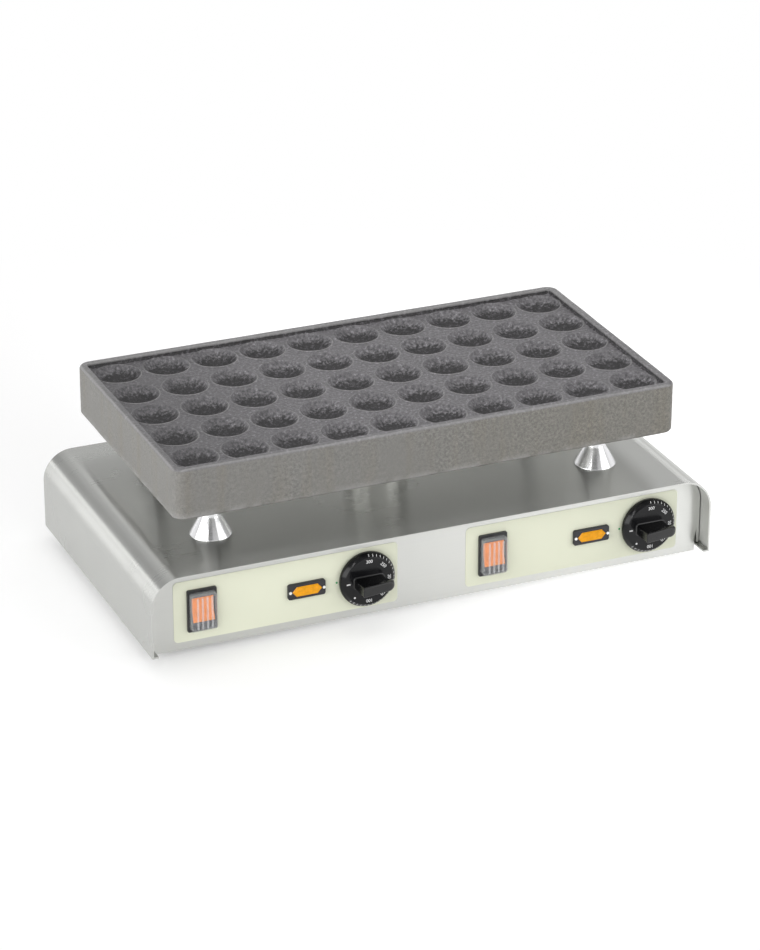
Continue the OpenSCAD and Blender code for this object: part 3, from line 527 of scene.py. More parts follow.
def cast_iron(name):
    """Grey iron: open-grained skin, black seasoning in the hollows with painted shade on their near sides
    and a painted shadow line at the rim's foot, paler edges that are partly wear and partly painted
    highlight, and painted shade to the left.
    """
    finish = Finish(name, IRON, 0.55)
    coarse = finish.noise(380, detail=5, roughness=0.62)
    fine = finish.noise(1500, detail=3, roughness=0.6)
    patches = finish.noise(22, detail=4)
    runs = finish.noise(1.0, detail=3, stretch=(60, 60, 6))
    pits = finish.cells(700)
    bare = finish.ramp(coarse, (0.38, shade(IRON, 0.55)), (0.50, shade(IRON, 0.9)),
                       (0.58, shade(IRON, 1.15)), (0.68, shade(IRON, 2.0)))
    black = finish.ramp(coarse, (0.42, shade(SEASONED, 0.5)), (0.54, shade(SEASONED, 1.3)),
                        (0.66, (0.12, 0.115, 0.125)))
    # Seasoning, with painted shade in the hollows' front halves and a painted shadow line at the rim's foot
    reach = finish.sum(finish.attribute("season_and_shade"), finish.spread(coarse, 0.2, -0.2, 0.38, 0.62))
    top = finish.blend(finish.spread(reach, 0, 1, 0.2, 0.7), bare, black)
    # Painted shade: the top darker towards the left
    left_shade_tone = finish.ramp(finish.attribute("left_shade"), (0.0, WHITE), (1.0, shade(WHITE, 0.72)))
    top = finish.blend(1.0, top, left_shade_tone, "MULTIPLY")
    grain = finish.blend(0.5, coarse, fine)
    skin = finish.ramp(grain, (0.40, shade(IRON_SIDE, 0.62)), (0.50, IRON_SIDE),
                       (0.62, shade(IRON_SIDE, 1.5)))
    rougher = finish.sum(patches, finish.attribute("grained"), 0.22)
    grained = finish.spread(rougher, 0.30, 1.0, 0.38, 0.68)
    side = finish.blend(grained, IRON_SIDE, skin)
    warm = finish.ramp(runs, (0.48, WHITE), (0.70, (1.0, 0.965, 0.90)))
    side = finish.blend(1.0, side, warm, "MULTIPLY")
    brown = finish.ramp(finish.attribute("grained"), (0.0, WHITE), (1.0, (0.96, 0.945, 0.90)))
    side = finish.blend(1.0, side, brown, "MULTIPLY")
    body = finish.blend(finish.attribute("side"), top, side)
    # Bright edge lines painted over the body: partly wear, partly painted highlight
    finish.paint(finish.blend(finish.attribute("wear_and_highlight"), body, WEAR_AND_HIGHLIGHT_TONE))
    finish.polish(finish.spread(coarse, 0.42, 0.66))
    finish.set("Specular IOR Level", 0.6)
    rough = finish.sum(finish.sum(coarse, fine, 0.5), pits, 0.4)
    finish.relief(rough, 0.6 * MM, 0.9)
    return finish.material


def polished_metal(name):
    finish = Finish(name, (0.80, 0.80, 0.81), 0.10, metallic=1.0)
    turning = finish.noise(1.0, detail=2, stretch=(40, 40, 5200))
    finish.polish(finish.spread(turning, 0.16, 0.24))
    finish.relief(turning, 0.001 * MM)
    finish.brush(UPRIGHT, 0.9)
    return finish.material


def clear_plastic(name, alpha, edge_alpha):
    """Milky clear silicone: how much one skin hides, on its front and on its thicker sides."""
    finish = Finish(name, (0.78, 0.80, 0.82), 0.14)
    skin = finish.noise(900, detail=2)
    cloud = finish.noise(180, detail=3)
    finish.polish(finish.spread(skin, 0.10, 0.22))
    facing = along(finish.tree, finish.normal_and("ABSOLUTE"), "Y")
    skin_alpha = finish.spread(facing, edge_alpha, alpha, 0.3, 0.9)
    haze = finish.sum(skin_alpha, finish.spread(cloud, -0.02, 0.02))
    finish.set("Alpha", haze)
    finish.set("Specular IOR Level", 0.8)
    return finish.material


def lit_plastic(name, colour, roughness, glow):
    """Coloured lamp plastic: deep colour with a glossy surface and a little glow from behind."""
    finish = Finish(name, colour, roughness)
    cloud = finish.noise(260, detail=2)
    finish.paint(finish.tinted(cloud, 0.85, 1.1))
    finish.set("Emission Color", (*colour, 1))
    finish.set("Emission Strength", glow)
    finish.set("Specular IOR Level", 0.25)
    return finish.material


def wool(name):
    finish = Finish(name, (0.55, 0.50, 0.36), 0.95)
    fibre = finish.noise(500, detail=6, stretch=(1, 0.3, 1))
    finish.paint(finish.ramp(fibre, (0.3, (0.42, 0.37, 0.25)), (0.7, (0.68, 0.62, 0.46))))
    finish.relief(fibre, 0.6 * MM)
    return finish.material


def sleeve(name):
    finish = Finish(name, (0.70, 0.68, 0.62), 0.85)
    weave = finish.noise(1900, detail=2, stretch=(1, 1, 2))
    finish.paint(finish.ramp(weave, (0.35, (0.55, 0.53, 0.47)), (0.65, (0.80, 0.78, 0.72))))
    finish.relief(weave, 0.1 * MM)
    return finish.material


STEEL = (0.56, 0.565, 0.545)
# How closely the grain lines lie along each axis, per metre, and how high they are
GRAIN_HEIGHT = 0.00015 * MM
ALONG_X = (3, 1300, 3)
PANEL_GRAIN = (3, 3, 1300)
TUBE_GRAIN = (1300, 1300, 3)

RECIPES = {
    "cover_steel": (brushed_steel, shade(STEEL, 1.04), 0.28, ALONG_X, ALONG_Y),
    "panel_steel": (brushed_steel, shade(STEEL, 1.08), 0.30, PANEL_GRAIN, UPRIGHT),
    "pan_steel": (brushed_steel, STEEL, 0.38, ALONG_X, ALONG_Y),
    "foot_rubber": (rubber,),
    "zinc_fastener": (zinc_plate, (0.62, 0.63, 0.63)),
    "label_film": (film,),
    "switch_plastic": (moulded_plastic, (0.012, 0.012, 0.014), 0.34),
    "rocker_plastic": (moulded_plastic, (0.05, 0.05, 0.058), 0.4),
    "rocker_lens_plastic": (lit_plastic, (0.84, 0.25, 0.045), 0.4, 0.22),
    "clear_boot": (clear_plastic, 0.085, 0.24),
    "boot_rib": (clear_plastic, 0.26, 0.32),
    "tab_brass": (zinc_plate, (0.62, 0.46, 0.20)),
    "lamp_plastic": (moulded_plastic, (0.013, 0.013, 0.018), 0.3),
    "lamp_amber": (lit_plastic, (0.86, 0.36, 0.006), 0.25, 0.05),
    "rivet_metal": (zinc_plate, (0.85, 0.85, 0.84)),
    "thermostat_metal": (zinc_plate, (0.55, 0.57, 0.60)),
    "spindle_steel": (zinc_plate, (0.60, 0.60, 0.60)),
    "knob_plastic": (moulded_plastic, (0.005, 0.005, 0.006), 0.14, 0.27),
    "grip_plastic": (moulded_plastic, (0.003, 0.003, 0.0035), 0.18),
    "capillary_metal": (zinc_plate, (0.60, 0.40, 0.24)),
    "block_plastic": (moulded_plastic, (0.72, 0.70, 0.62), 0.5),
    "gland_plastic": (moulded_plastic, (0.02, 0.02, 0.022), 0.45),
    "tube_steel": (brushed_steel, (0.84, 0.84, 0.82), 0.33, TUBE_GRAIN, UPRIGHT),
    "post_steel": (polished_metal,),
    "plate_iron": (cast_iron,),
    "element_sheath": (zinc_plate, (0.20, 0.19, 0.18)),
    "bar_steel": (zinc_plate, (0.45, 0.45, 0.45)),
    "insulation_wool": (wool,),
    "shield_steel": (zinc_plate, (0.86, 0.86, 0.84)),
    "lead_sleeve": (sleeve,),
    "white_print": (moulded_plastic, (0.78, 0.78, 0.78), 0.5),
    "green_print": (moulded_plastic, (0.03, 0.36, 0.10), 0.5),
}
materials = {name: make(name, *values) for name, (make, *values) in RECIPES.items()}


def finish_cad_nodes():
    """Every CAD node takes the material of its own slot in the record."""
    slots = {part["node"]: part["material_slot"] for part in frame["record"]["subparts"]}
    for name, node in frame["nodes"].items():
        material = materials[slots[name]]
        for slot in node.material_slots:
            slot.material = material


# ---- Baking plate ----

HOLLOW_COLUMNS = 10
HOLLOW_ROWS = 5
HOLLOW_PITCH = (45 * MM, 47.5 * MM)
HOLLOW_RADIUS = 20 * MM
HOLLOW_DEPTH = 9 * MM
HOLLOW_SPHERE = (HOLLOW_RADIUS ** 2 + HOLLOW_DEPTH ** 2) / (2 * HOLLOW_DEPTH)
RING_MIDDLE = HOLLOW_RADIUS + 0.6 * MM
RING_WIDTH = 0.55 * MM
RING_HEIGHT = 0.6 * MM
CELL_SIDE_STEPS = 16
CELL_REACH = 22.2 * MM
# Radii of the mesh rings in mm: even down the bowl, and closer over the ring at its mouth
BOWL_RINGS = [0.4 + 1.6 * i for i in range(12)] + [19.0, 19.5, 19.9, 20.25, 20.6, 20.95, 21.3, 21.7]
RIM_WIDTH = 7 * MM
RIM_HEIGHT = 4.5 * MM
PLATE_CORNER = 11 * MM
PLATE_EDGE = 3 * MM
RIM_INNER_EDGE = 1.4 * MM
SKIRT_WIDTH = 8 * MM
SKIRT_EDGE = 1 * MM
SKIRT_CORNER = 3 * MM
SLAB_THICKNESS = 14 * MM
FLOOR_FILLET = 1.3 * MM
SEAM = 0.5 * MM
BOSS_RADIUS = 12 * MM
BOSS_FOOT = 129 * MM
BOLT_HEAD_HALF = (7.51 * MM, 6.5 * MM)

# Rough casting: how far apart its lumps lie, and how high they are
WALL_LUMPS = ((38 * MM, 0.30 * MM), (7 * MM, 0.16 * MM))
WALL_SIDE_STEPS = (66, 36)
FLOOR_LUMPS = (9 * MM, 0.12 * MM)
BOWL_PITS = (2.6 * MM, 0.30 * MM)
BOWL_PIT_GROWTH = 4

# Where the iron's tone changes: from and to
# Painted shade in the hollows: blackest towards their front, lighter on their lit back walls
BLACKEST_FORWARD = 4 * MM
BLACK_FADES = (11 * MM, 23 * MM)
BLACK_ENDS = (19.2 * MM, 20 * MM)
BACK_WALL_LIGHTER = 0.95
# Painted shadow line at the foot of the rim's wall
WALL_FOOT_SHADE_FADES = (0.6 * MM, 2.8 * MM)
# The rings' painted highlight fades towards each hollow's back
RING_DULLS = (18 * MM, 24 * MM)
RING_DULL = 0.75
GRAINY_FROM = (-60 * MM, 130 * MM)
# Painted shade: the plate is darker to the left until here
LEFT_SHADE_UNTIL = (-210 * MM, -40 * MM)

# Bright lines, partly rubbed wear and partly painted highlight: place, half width and strength
RING_SHINE = (RING_MIDDLE, 0.6 * MM, 0.5)
OUTER_SHINE = (1.2 * MM, 0.9 * MM, 0.5)
INNER_SHINE = (RIM_WIDTH - 0.4 * MM, 0.7 * MM, 0.25)
FOOT_SHINE = (2.2 * MM, 1.1 * MM, 0.6)
FOOT_SHINE_GAPS = (11 * MM, -0.35, 0.3)
RIM_SHINE = 0.12
BACK_SHINE = 0.22
MOST_SHINE = 0.62
RIM_DEPTH = 2.2 * MM
TOP_DEPTH = 1.6 * MM

PLATE_LOW, PLATE_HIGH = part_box("baking_plate")
PLATE_SIZE = PLATE_HIGH - PLATE_LOW
POCKET_FLOOR = PLATE_HIGH.z - RIM_HEIGHT
POCKET_HALF = Vector((PLATE_HIGH.x - RIM_WIDTH, PLATE_HIGH.y - RIM_WIDTH))
POCKET_CORNER = PLATE_CORNER - RIM_WIDTH
POCKET_SLACK = 0.3 * MM
POCKET_LOWEST = PLATE_LOW.z + 25 * MM


def rough_cast(point, size, height):
    """Height of the casting's unevenness at a point, with lumps about size apart."""
    return noise.noise(Vector(point) / size) * height


def hollow_height(radius):
    """Height of the pocket floor at a distance from the middle of a hollow, with the ring at its mouth."""
    ring = RING_HEIGHT * exp(-((radius - RING_MIDDLE) / RING_WIDTH) ** 2)
    if radius >= HOLLOW_RADIUS:
        return ring
    return HOLLOW_SPHERE - HOLLOW_DEPTH - sqrt(HOLLOW_SPHERE ** 2 - radius ** 2) + ring


def in_pocket(x, y):
    """The point held inside the pocket's rounded corners, and its distance from the pocket's wall."""
    over = Vector((abs(x), abs(y))) - (POCKET_HALF - Vector((POCKET_CORNER, POCKET_CORNER)))
    if min(over) <= 0:
        return x, y, max(POCKET_CORNER - max(over), 0)
    reach = over.length
    if reach > POCKET_CORNER:
        shift = over * (1 - POCKET_CORNER / reach)
        x -= shift.x if x > 0 else -shift.x
        y -= shift.y if y > 0 else -shift.y
    return x, y, max(POCKET_CORNER - reach, 0)


def floor_point(x, y, radius):
    """Point of the pocket floor at a distance from the nearest hollow's middle."""
    x, y, gap = in_pocket(x, y)
    height = hollow_height(radius)
    if gap < FLOOR_FILLET:
        height = max(height, FLOOR_FILLET - sqrt(FLOOR_FILLET ** 2 - (FLOOR_FILLET - gap) ** 2))
    point = Vector((x, y, POCKET_FLOOR + height))
    pitted = max(0.0, 1 - radius / HOLLOW_RADIUS)
    point.z += rough_cast(point, *FLOOR_LUMPS)
    point.z += rough_cast(point, *BOWL_PITS) * min(pitted * BOWL_PIT_GROWTH, 1)
    return point


def cell_edge(column, row):
    """Points round one hollow's share of the floor, from its middle: evenly spaced on each side."""
    centre = Vector(((column - (HOLLOW_COLUMNS - 1) / 2) * HOLLOW_PITCH[0],
                     (row - (HOLLOW_ROWS - 1) / 2) * HOLLOW_PITCH[1]))
    low = [-HOLLOW_PITCH[0] / 2, -HOLLOW_PITCH[1] / 2]
    high = [HOLLOW_PITCH[0] / 2, HOLLOW_PITCH[1] / 2]
    for axis, index, last in ((0, column, HOLLOW_COLUMNS - 1), (1, row, HOLLOW_ROWS - 1)):
        if index == 0:
            low[axis] = -POCKET_HALF[axis] - centre[axis]
        if index == last:
            high[axis] = POCKET_HALF[axis] - centre[axis]
    places = ((high[0], low[1]), (high[0], high[1]), (low[0], high[1]), (low[0], low[1]))
    corners = [Vector(place) for place in places]
    edge = []
    for i, corner in enumerate(corners):
        following = corners[(i + 1) % 4]
        edge += [corner.lerp(following, step / CELL_SIDE_STEPS) for step in range(CELL_SIDE_STEPS)]
    return centre, edge


def cell_radii(reach):
    """Distances of the floor's mesh rings from a hollow's middle, out to its cell's edge."""
    radii = [min(radius * MM, reach) for radius in BOWL_RINGS]
    start = min(CELL_REACH, reach)
    wall_side = max(reach - FLOOR_FILLET, start)
    radii += [start, (start + wall_side) / 2, wall_side, (wall_side + reach) / 2, reach]
    return radii


def add_hollow(shape, column, row):
    centre, edge = cell_edge(column, row)
    rings = []
    for point in edge:
        direction = point.normalized()
        spoke = []
        for radius in cell_radii(point.length):
            place = centre + direction * radius
            spoke.append(floor_point(place.x, place.y, radius))
        rings.append(spoke)
    vertices = [rings[i][level] for level in range(len(rings[0])) for i in range(len(rings))]
    count = len(rings)
    faces = [tuple(range(count))]
    for low in range(0, count * (len(rings[0]) - 1), count):
        for i in range(count):
            j = (i + 1) % count
            faces.append((low + i, low + count + i, low + count + j, low + j))
    shape.add(vertices, faces)


def casting_profile():
    """(inset from the outer wall, height) from the underside out, up the wall and down into the pocket."""
    foot = PLATE_LOW.z
    top = PLATE_HIGH.z
    profile = [(SKIRT_WIDTH, POCKET_FLOOR - SLAB_THICKNESS)]
    profile += arc((SKIRT_WIDTH - SKIRT_EDGE, foot + SKIRT_EDGE), SKIRT_EDGE, 0, -90, 3)
    profile += arc((PLATE_EDGE, foot + PLATE_EDGE), PLATE_EDGE, -90, -180, 6)
    wall_steps = 10
    wall = top - foot - 2 * PLATE_EDGE
    profile += [(0.0, foot + PLATE_EDGE + wall * i / wall_steps) for i in range(1, wall_steps)]
    profile += arc((PLATE_EDGE, top - PLATE_EDGE), PLATE_EDGE, 180, 90, 6)
    profile += arc((RIM_WIDTH - RIM_INNER_EDGE, top - RIM_INNER_EDGE), RIM_INNER_EDGE, 90, 0, 4)
    profile.append((RIM_WIDTH, POCKET_FLOOR + FLOOR_FILLET + SEAM))
    return profile


def add_casting(shape):
    rings = []
    for inset, height in casting_profile():
        radius = max(PLATE_CORNER - inset, POCKET_CORNER if height > POCKET_FLOOR else SKIRT_CORNER)
        size = (PLATE_SIZE.x - 2 * inset, PLATE_SIZE.y - 2 * inset)
        outline = rounded_outline(*size, radius, side_steps=WALL_SIDE_STEPS)
        ring = []
        for x, y in outline:
            point = Vector((x, y, height))
            if height > POCKET_FLOOR - SLAB_THICKNESS or inset < SKIRT_WIDTH:
                outwards = Vector((x / PLATE_SIZE.x, y / PLATE_SIZE.y, 0)).normalized()
                point += outwards * sum(rough_cast(point, *lumps) for lumps in WALL_LUMPS)
            ring.append(point)
        rings.append(ring)
    shape.loft(rings, cap_end=False)


def add_bosses(shape):
    """Studs under the plate that the posts bolt into."""
    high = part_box("post_bolts")[1]
    for x in (-1, 1):
        for y in (-1, 1):
            centre = (x * (high.x - BOLT_HEAD_HALF[0]), y * (high.y - BOLT_HEAD_HALF[1]))
            shape.turn([(BOSS_RADIUS, BOSS_FOOT), (BOSS_RADIUS, POCKET_FLOOR - SLAB_THICKNESS)], 40, centre)


def nearest_hollow(x, y):
    """Distances from a point to the middle of the nearest hollow, and to a point nearer its front."""
    offsets = []
    for value, pitch, count in ((x, HOLLOW_PITCH[0], HOLLOW_COLUMNS), (y, HOLLOW_PITCH[1], HOLLOW_ROWS)):
        middle_place = (count - 1) / 2
        place = min(max(round(value / pitch + middle_place), 0), count - 1)
        offsets.append(value - (place - middle_place) * pitch)
    across, back = offsets
    return hypot(across, back), hypot(across, back + BLACKEST_FORWARD)


def smooth_share(value, start, end):
    """0 before start, 1 after end, and a smooth rise between them."""
    share = min(max((value - start) / (end - start), 0.0), 1.0)
    return share * share * (3 - 2 * share)


def season_at(x, y, gap):
    """How black the pocket floor is painted: seasoning in the hollows, with painted shade making their front
    halves blackest and their lit back walls lighter, and a painted shadow line along the wall's foot.
    """
    radius, from_front = nearest_hollow(x, y)
    # Painted shadow line along the foot of the rim's wall
    wall_foot_shade = 1 - smooth_share(gap - RIM_WIDTH, *WALL_FOOT_SHADE_FADES)
    if radius > HOLLOW_RADIUS:
        return wall_foot_shade
    # Painted shade: blackest towards the front, lighter on the lit back wall
    depth = 1 - BACK_WALL_LIGHTER * smooth_share(from_front, *BLACK_FADES)
    return max(depth * (1 - smooth_share(radius, *BLACK_ENDS)), wall_foot_shade)


def shine(value, place, half_width, strength):
    """Brightness of a bright line, partly rubbed wear and partly painted highlight, that fades to both sides
    of its place.
    """
    return strength * exp(-((value - place) / half_width) ** 2)


def worn_at(x, y, z, gap, inside):
    """How bright an edge is painted, partly as rubbed wear and partly as painted highlight: round the
    hollows' fronts, along the rim and on the lower edge.
    """
    if inside:
        radius, from_front = nearest_hollow(x, y)
        # Painted highlight on the hollows' front rings, partly wear
        return shine(radius, *RING_SHINE) * (1 - RING_DULL * smooth_share(from_front, *RING_DULLS))
    if z > PLATE_HIGH.z - RIM_DEPTH:
        # Painted highlight, brighter towards the back rim
        back = BACK_SHINE * smooth_share(y, 0, PLATE_HIGH.y - RIM_WIDTH)
        return min(RIM_SHINE + back + shine(gap, *OUTER_SHINE) + shine(gap, *INNER_SHINE), MOST_SHINE)
    lump, dull, bright = FOOT_SHINE_GAPS
    broken = smooth_share(noise.noise(Vector((x, y, 0)) / lump), dull, bright)
    return broken * shine(z - PLATE_LOW.z, *FOOT_SHINE)


def tone_plate(mesh):
    """Marks on the mesh where the plate is seasoned or painted with shade, worn or painted with highlights,
    outside, grainier, and painted darker to the left as shade.
    """
    tones = {"season_and_shade": [], "wear_and_highlight": [], "side": [], "grained": [], "left_shade": []}
    for vertex in mesh.vertices:
        x, y, z = vertex.co
        gap = min(PLATE_HIGH.x - abs(x), PLATE_HIGH.y - abs(y))
        inside = gap > RIM_WIDTH - POCKET_SLACK and POCKET_LOWEST < z < PLATE_HIGH.z - RIM_DEPTH
        # Seasoning with painted shade in the hollows and at the rim's foot
        tones["season_and_shade"].append(season_at(x, y, gap) if inside else 0.0)
        # Edge wear with painted highlight
        tones["wear_and_highlight"].append(worn_at(x, y, z, gap, inside))
        tones["side"].append(0.0 if inside or z > PLATE_HIGH.z - TOP_DEPTH else 1.0)
        tones["grained"].append(smooth_share(x, *GRAINY_FROM))
        # Painted shade: darker to the left
        tones["left_shade"].append(1 - smooth_share(x, *LEFT_SHADE_UNTIL))
    for name, values in tones.items():
        mesh.attributes.new(name, "FLOAT", "POINT").data.foreach_set("value", values)


def join_floor_to_rim(mesh):
    """Fills the seam between the rim's foot and the pocket floor's outer edge."""
    seam = bmesh.new()
    seam.from_mesh(mesh)
    loops = [edge for edge in seam.edges if edge.is_boundary]
    bmesh.ops.bridge_loops(seam, edges=loops)
    seam.to_mesh(mesh)
    seam.free()
    mesh.shade_smooth()


def add_plate():
    shape = Shape()
    add_casting(shape)
    for column in range(HOLLOW_COLUMNS):
        for row in range(HOLLOW_ROWS):
            add_hollow(shape, column, row)
    add_bosses(shape)
    plate = shape.object("plate_casting", materials["plate_iron"], smooth_below=60)
    join_floor_to_rim(plate.data)
    tone_plate(plate.data)
    piece(plate, "base", "plate_iron", "baking_plate")


# ---- Posts ----

POST_FOOT_RADIUS = 18.5 * MM
POST_NECK_RADIUS = 8.5 * MM
POST_RIM = 1.0 * MM
POST_CONE = 18 * MM
POST_CONE_STEPS = 8
POST_EDGE = 0.3 * MM
POST_SOFTENING = 0.2 * MM


def post_profile(height):
    """(radius, height) from the wide foot, over its cone, to the neck's upper end."""
    rim = Vector((POST_FOOT_RADIUS, POST_RIM))
    cone = Vector((POST_NECK_RADIUS, POST_CONE))
    profile = [(rim.x - POST_EDGE, 0.0), (rim.x, POST_EDGE), (rim.x, rim.y - POST_SOFTENING),
               (rim.x - 0.25 * MM, rim.y + POST_SOFTENING)]
    profile += [tuple(rim.lerp(cone, step / POST_CONE_STEPS)) for step in range(1, POST_CONE_STEPS)]
    profile += [(cone.x + POST_SOFTENING, cone.y - POST_EDGE), (cone.x, cone.y + POST_EDGE)]
    profile += [(cone.x, height - POST_EDGE), (cone.x - POST_EDGE, height)]
    return profile


def add_posts():
    low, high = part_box("posts")
    for side, x in (("left", -1), ("right", 1)):
        for end, y in (("front", -1), ("back", 1)):
            shape = Shape()
            shape.turn(post_profile(high.z - low.z), 96)
            post = shape.object(f"{side}_{end}_post", materials["post_steel"])
            post.location = (x * (high.x - POST_FOOT_RADIUS), y * (high.y - POST_FOOT_RADIUS), low.z)
            piece(post, "base", "post_steel", "posts")


# ---- Front panel's ends ----

PANEL_SHEET = 1.2 * MM
PANEL_CORNER = 22.5 * MM
END_FOOT = 13.5 * MM
# How far round the corner the outer and the inner side reach, in degrees
END_TURNS = (58, 54)
END_STEPS = 12
COVER_BEND = 27 * MM
COVER_WALL = 1.5 * MM
END_GAP = 0.6 * MM


def panel_end_outline():
    """Sliver between the panel's own right edge and the cover's bend, seen from the front."""
    panel_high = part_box("front_panel")[1]
    cover_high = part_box("top_cover")[1]
    bend = (cover_high.x - COVER_BEND, cover_high.z - COVER_BEND)
    corner = (panel_high.x - PANEL_CORNER, panel_high.z - PANEL_CORNER)
    reach = COVER_BEND - COVER_WALL - END_GAP
    outer = [(bend[0] + reach, END_FOOT)] + arc(bend, reach, 0, END_TURNS[0], END_STEPS)
    inner = arc(corner, PANEL_CORNER, END_TURNS[1], 0, END_STEPS) + [(panel_high.x, END_FOOT)]
    return outer + inner


def add_panel_ends():
    """Slivers that carry the front panel's face out to a thin gap beside the cover's cheeks."""
    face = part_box("front_panel")[0].y
    right = panel_end_outline()
    left = [(-x, z) for x, z in reversed(right)]
    for side, outline in (("right", right), ("left", left)):
        shape = Shape()
        shape.loft([[(x, y, z) for x, z in outline] for y in (face + PANEL_SHEET, face)])
        piece(shape.object(f"{side}_panel_end", materials["panel_steel"]), "base", "panel_steel")


# ---- Thermostat dials ----

DIAL_RADIUS = 25.2 * MM
DIAL_RIM = 4.4 * MM
DIAL_FACE_RADIUS = 21.8 * MM
DIAL_FACE = 8 * MM
DIAL_GAP = 0.8 * MM
DIAL_RECESS = 5 * MM
GRIP_LENGTH = 27 * MM
GRIP_WIDTH = 9 * MM
GRIP_HIGH = 28 * MM
GRIP_LOW = 24 * MM
GRIP_CORNER = 1.2 * MM
GRIP_ROUND_END = 3.6 * MM
GRIP_SUNK = 0.5 * MM
GRIP_FILLET = 1.2 * MM
GRIP_EDGE = 0.9 * MM
NOSE_REACH = 4.4 * MM
NOSE_DEPTH = 4.5 * MM
NOSE_FROM = 0.55
STRAIGHT_STEPS = 6
NOSE_STEPS = 9
MARK_HEIGHT = 0.06 * MM
NUMERAL_SIZE = 4.1 * MM
NUMERAL_RADIUS = 18.2 * MM
NUMERAL_THICKENING = 0.04 * MM
# Printed lines: inner radius, outer radius and width
TICK = (22.3 * MM, 24.1 * MM, 0.55 * MM)
STOP_MARK = (17.4 * MM, 20.8 * MM, 1.3 * MM)
STOP_TURN = 270
END_DOT_PLACE = 19 * MM
END_DOT_RADIUS = 0.9 * MM
INDEX_PLACE = (-26.7 * MM, 0)
INDEX_RADIUS = 0.95 * MM
SCALE_TURN = 225
SCALE_TICKS = 25
COLDEST = 50
HOTTEST = 300
NUMERAL_STEP = 50


def dial_profile():
    """(radius, height) from the recess in the back, round the rim, to the face."""
    back = [(0.01 * MM, DIAL_RECESS), (DIAL_FACE_RADIUS, DIAL_RECESS), (DIAL_FACE_RADIUS, DIAL_GAP)]
    rim = [(DIAL_RADIUS - 0.8 * MM, DIAL_GAP), (DIAL_RADIUS - 0.2 * MM, DIAL_GAP + 0.3 * MM),
           (DIAL_RADIUS, DIAL_GAP + 0.9 * MM), (DIAL_RADIUS, DIAL_RIM - 0.4 * MM),
           (DIAL_RADIUS - 0.25 * MM, DIAL_RIM + 0.25 * MM)]
    face = [(DIAL_FACE_RADIUS + 0.5 * MM, DIAL_FACE - 0.45 * MM),
            (DIAL_FACE_RADIUS + 0.1 * MM, DIAL_FACE - 0.1 * MM),
            (DIAL_FACE_RADIUS - 0.5 * MM, DIAL_FACE), (0.01 * MM, DIAL_FACE)]
    return back + rim + face


def grip_outline(nose):
    """Bar with a squarer end on the left and a round end on the right, which stands out by the nose."""
    round_x = GRIP_LENGTH / 2 + nose - GRIP_ROUND_END
    round_y = GRIP_WIDTH / 2 - GRIP_ROUND_END
    corner_x = GRIP_CORNER - GRIP_LENGTH / 2
    corner_y = GRIP_WIDTH / 2 - GRIP_CORNER
    points = arc((round_x, round_y), GRIP_ROUND_END, 0, 90, 6)
    points += arc((corner_x, corner_y), GRIP_CORNER, 90, 180, 4)
    points += arc((corner_x, -corner_y), GRIP_CORNER, 180, 270, 4)
    points += arc((round_x, -round_y), GRIP_ROUND_END, 270, 360, 6)
    return points


def grip_levels(top):
    """(inset, height, nose) from the fillet at the foot, up past the nose, to the rounded upper edge."""
    widest = top - NOSE_DEPTH
    foot = DIAL_FACE + GRIP_FILLET
    levels = [(-GRIP_FILLET, DIAL_FACE - GRIP_SUNK, 0.0)]
    levels += [(inset, height, 0.0) for inset, height in arc((-GRIP_FILLET, foot), GRIP_FILLET, -90, 0, 5)]
    for step in range(1, STRAIGHT_STEPS + 1):
        share = step / STRAIGHT_STEPS
        reach = NOSE_REACH * smooth_share(share, NOSE_FROM, 1.0)
        levels.append((0.0, foot + (widest - foot) * share, reach))
    for step in range(1, NOSE_STEPS + 1):
        angle = pi / 2 * step / NOSE_STEPS
        height = widest + NOSE_DEPTH * sin(angle)
        over = max(height - (top - GRIP_EDGE), 0.0)
        inset = GRIP_EDGE - sqrt(GRIP_EDGE ** 2 - min(over, GRIP_EDGE) ** 2)
        levels.append((inset, height, NOSE_REACH * cos(angle)))
    return levels


def add_grip(shape):
    slope = (GRIP_LOW - GRIP_HIGH) / GRIP_LENGTH
    top = (GRIP_LOW + GRIP_HIGH) / 2
    rings = []
    for inset, height, nose in grip_levels(top):
        tilt = slope * (height - DIAL_FACE) / (top - DIAL_FACE) if height > DIAL_FACE else 0.0
        outline = inset_outline(grip_outline(nose), inset)
        rings.append([(x, y, height + tilt * x) for x, y in outline])
    shape.loft(rings)


def bevel_height(radius):
    """Height of the dial's sloping rim."""
    share = (radius - DIAL_FACE_RADIUS) / (DIAL_RADIUS - DIAL_FACE_RADIUS)
    return DIAL_FACE + (DIAL_RIM - DIAL_FACE) * max(share, 0)


def add_mark(shape, turn, inner, outer, width):
    """Printed line pointing out from the dial's middle; turn is clockwise from the top, in degrees."""
    direction = Vector((sin(radians(turn)), cos(radians(turn))))
    across = Vector((direction.y, -direction.x)) * width / 2
    rings = []
    for lift in (0.0, MARK_HEIGHT):
        ring = []
        for radius, side in ((inner, 1), (outer, 1), (outer, -1), (inner, -1)):
            flat = direction * radius + across * side
            ring.append((flat.x, flat.y, bevel_height(radius) + lift))
        rings.append(ring)
    shape.loft(rings)


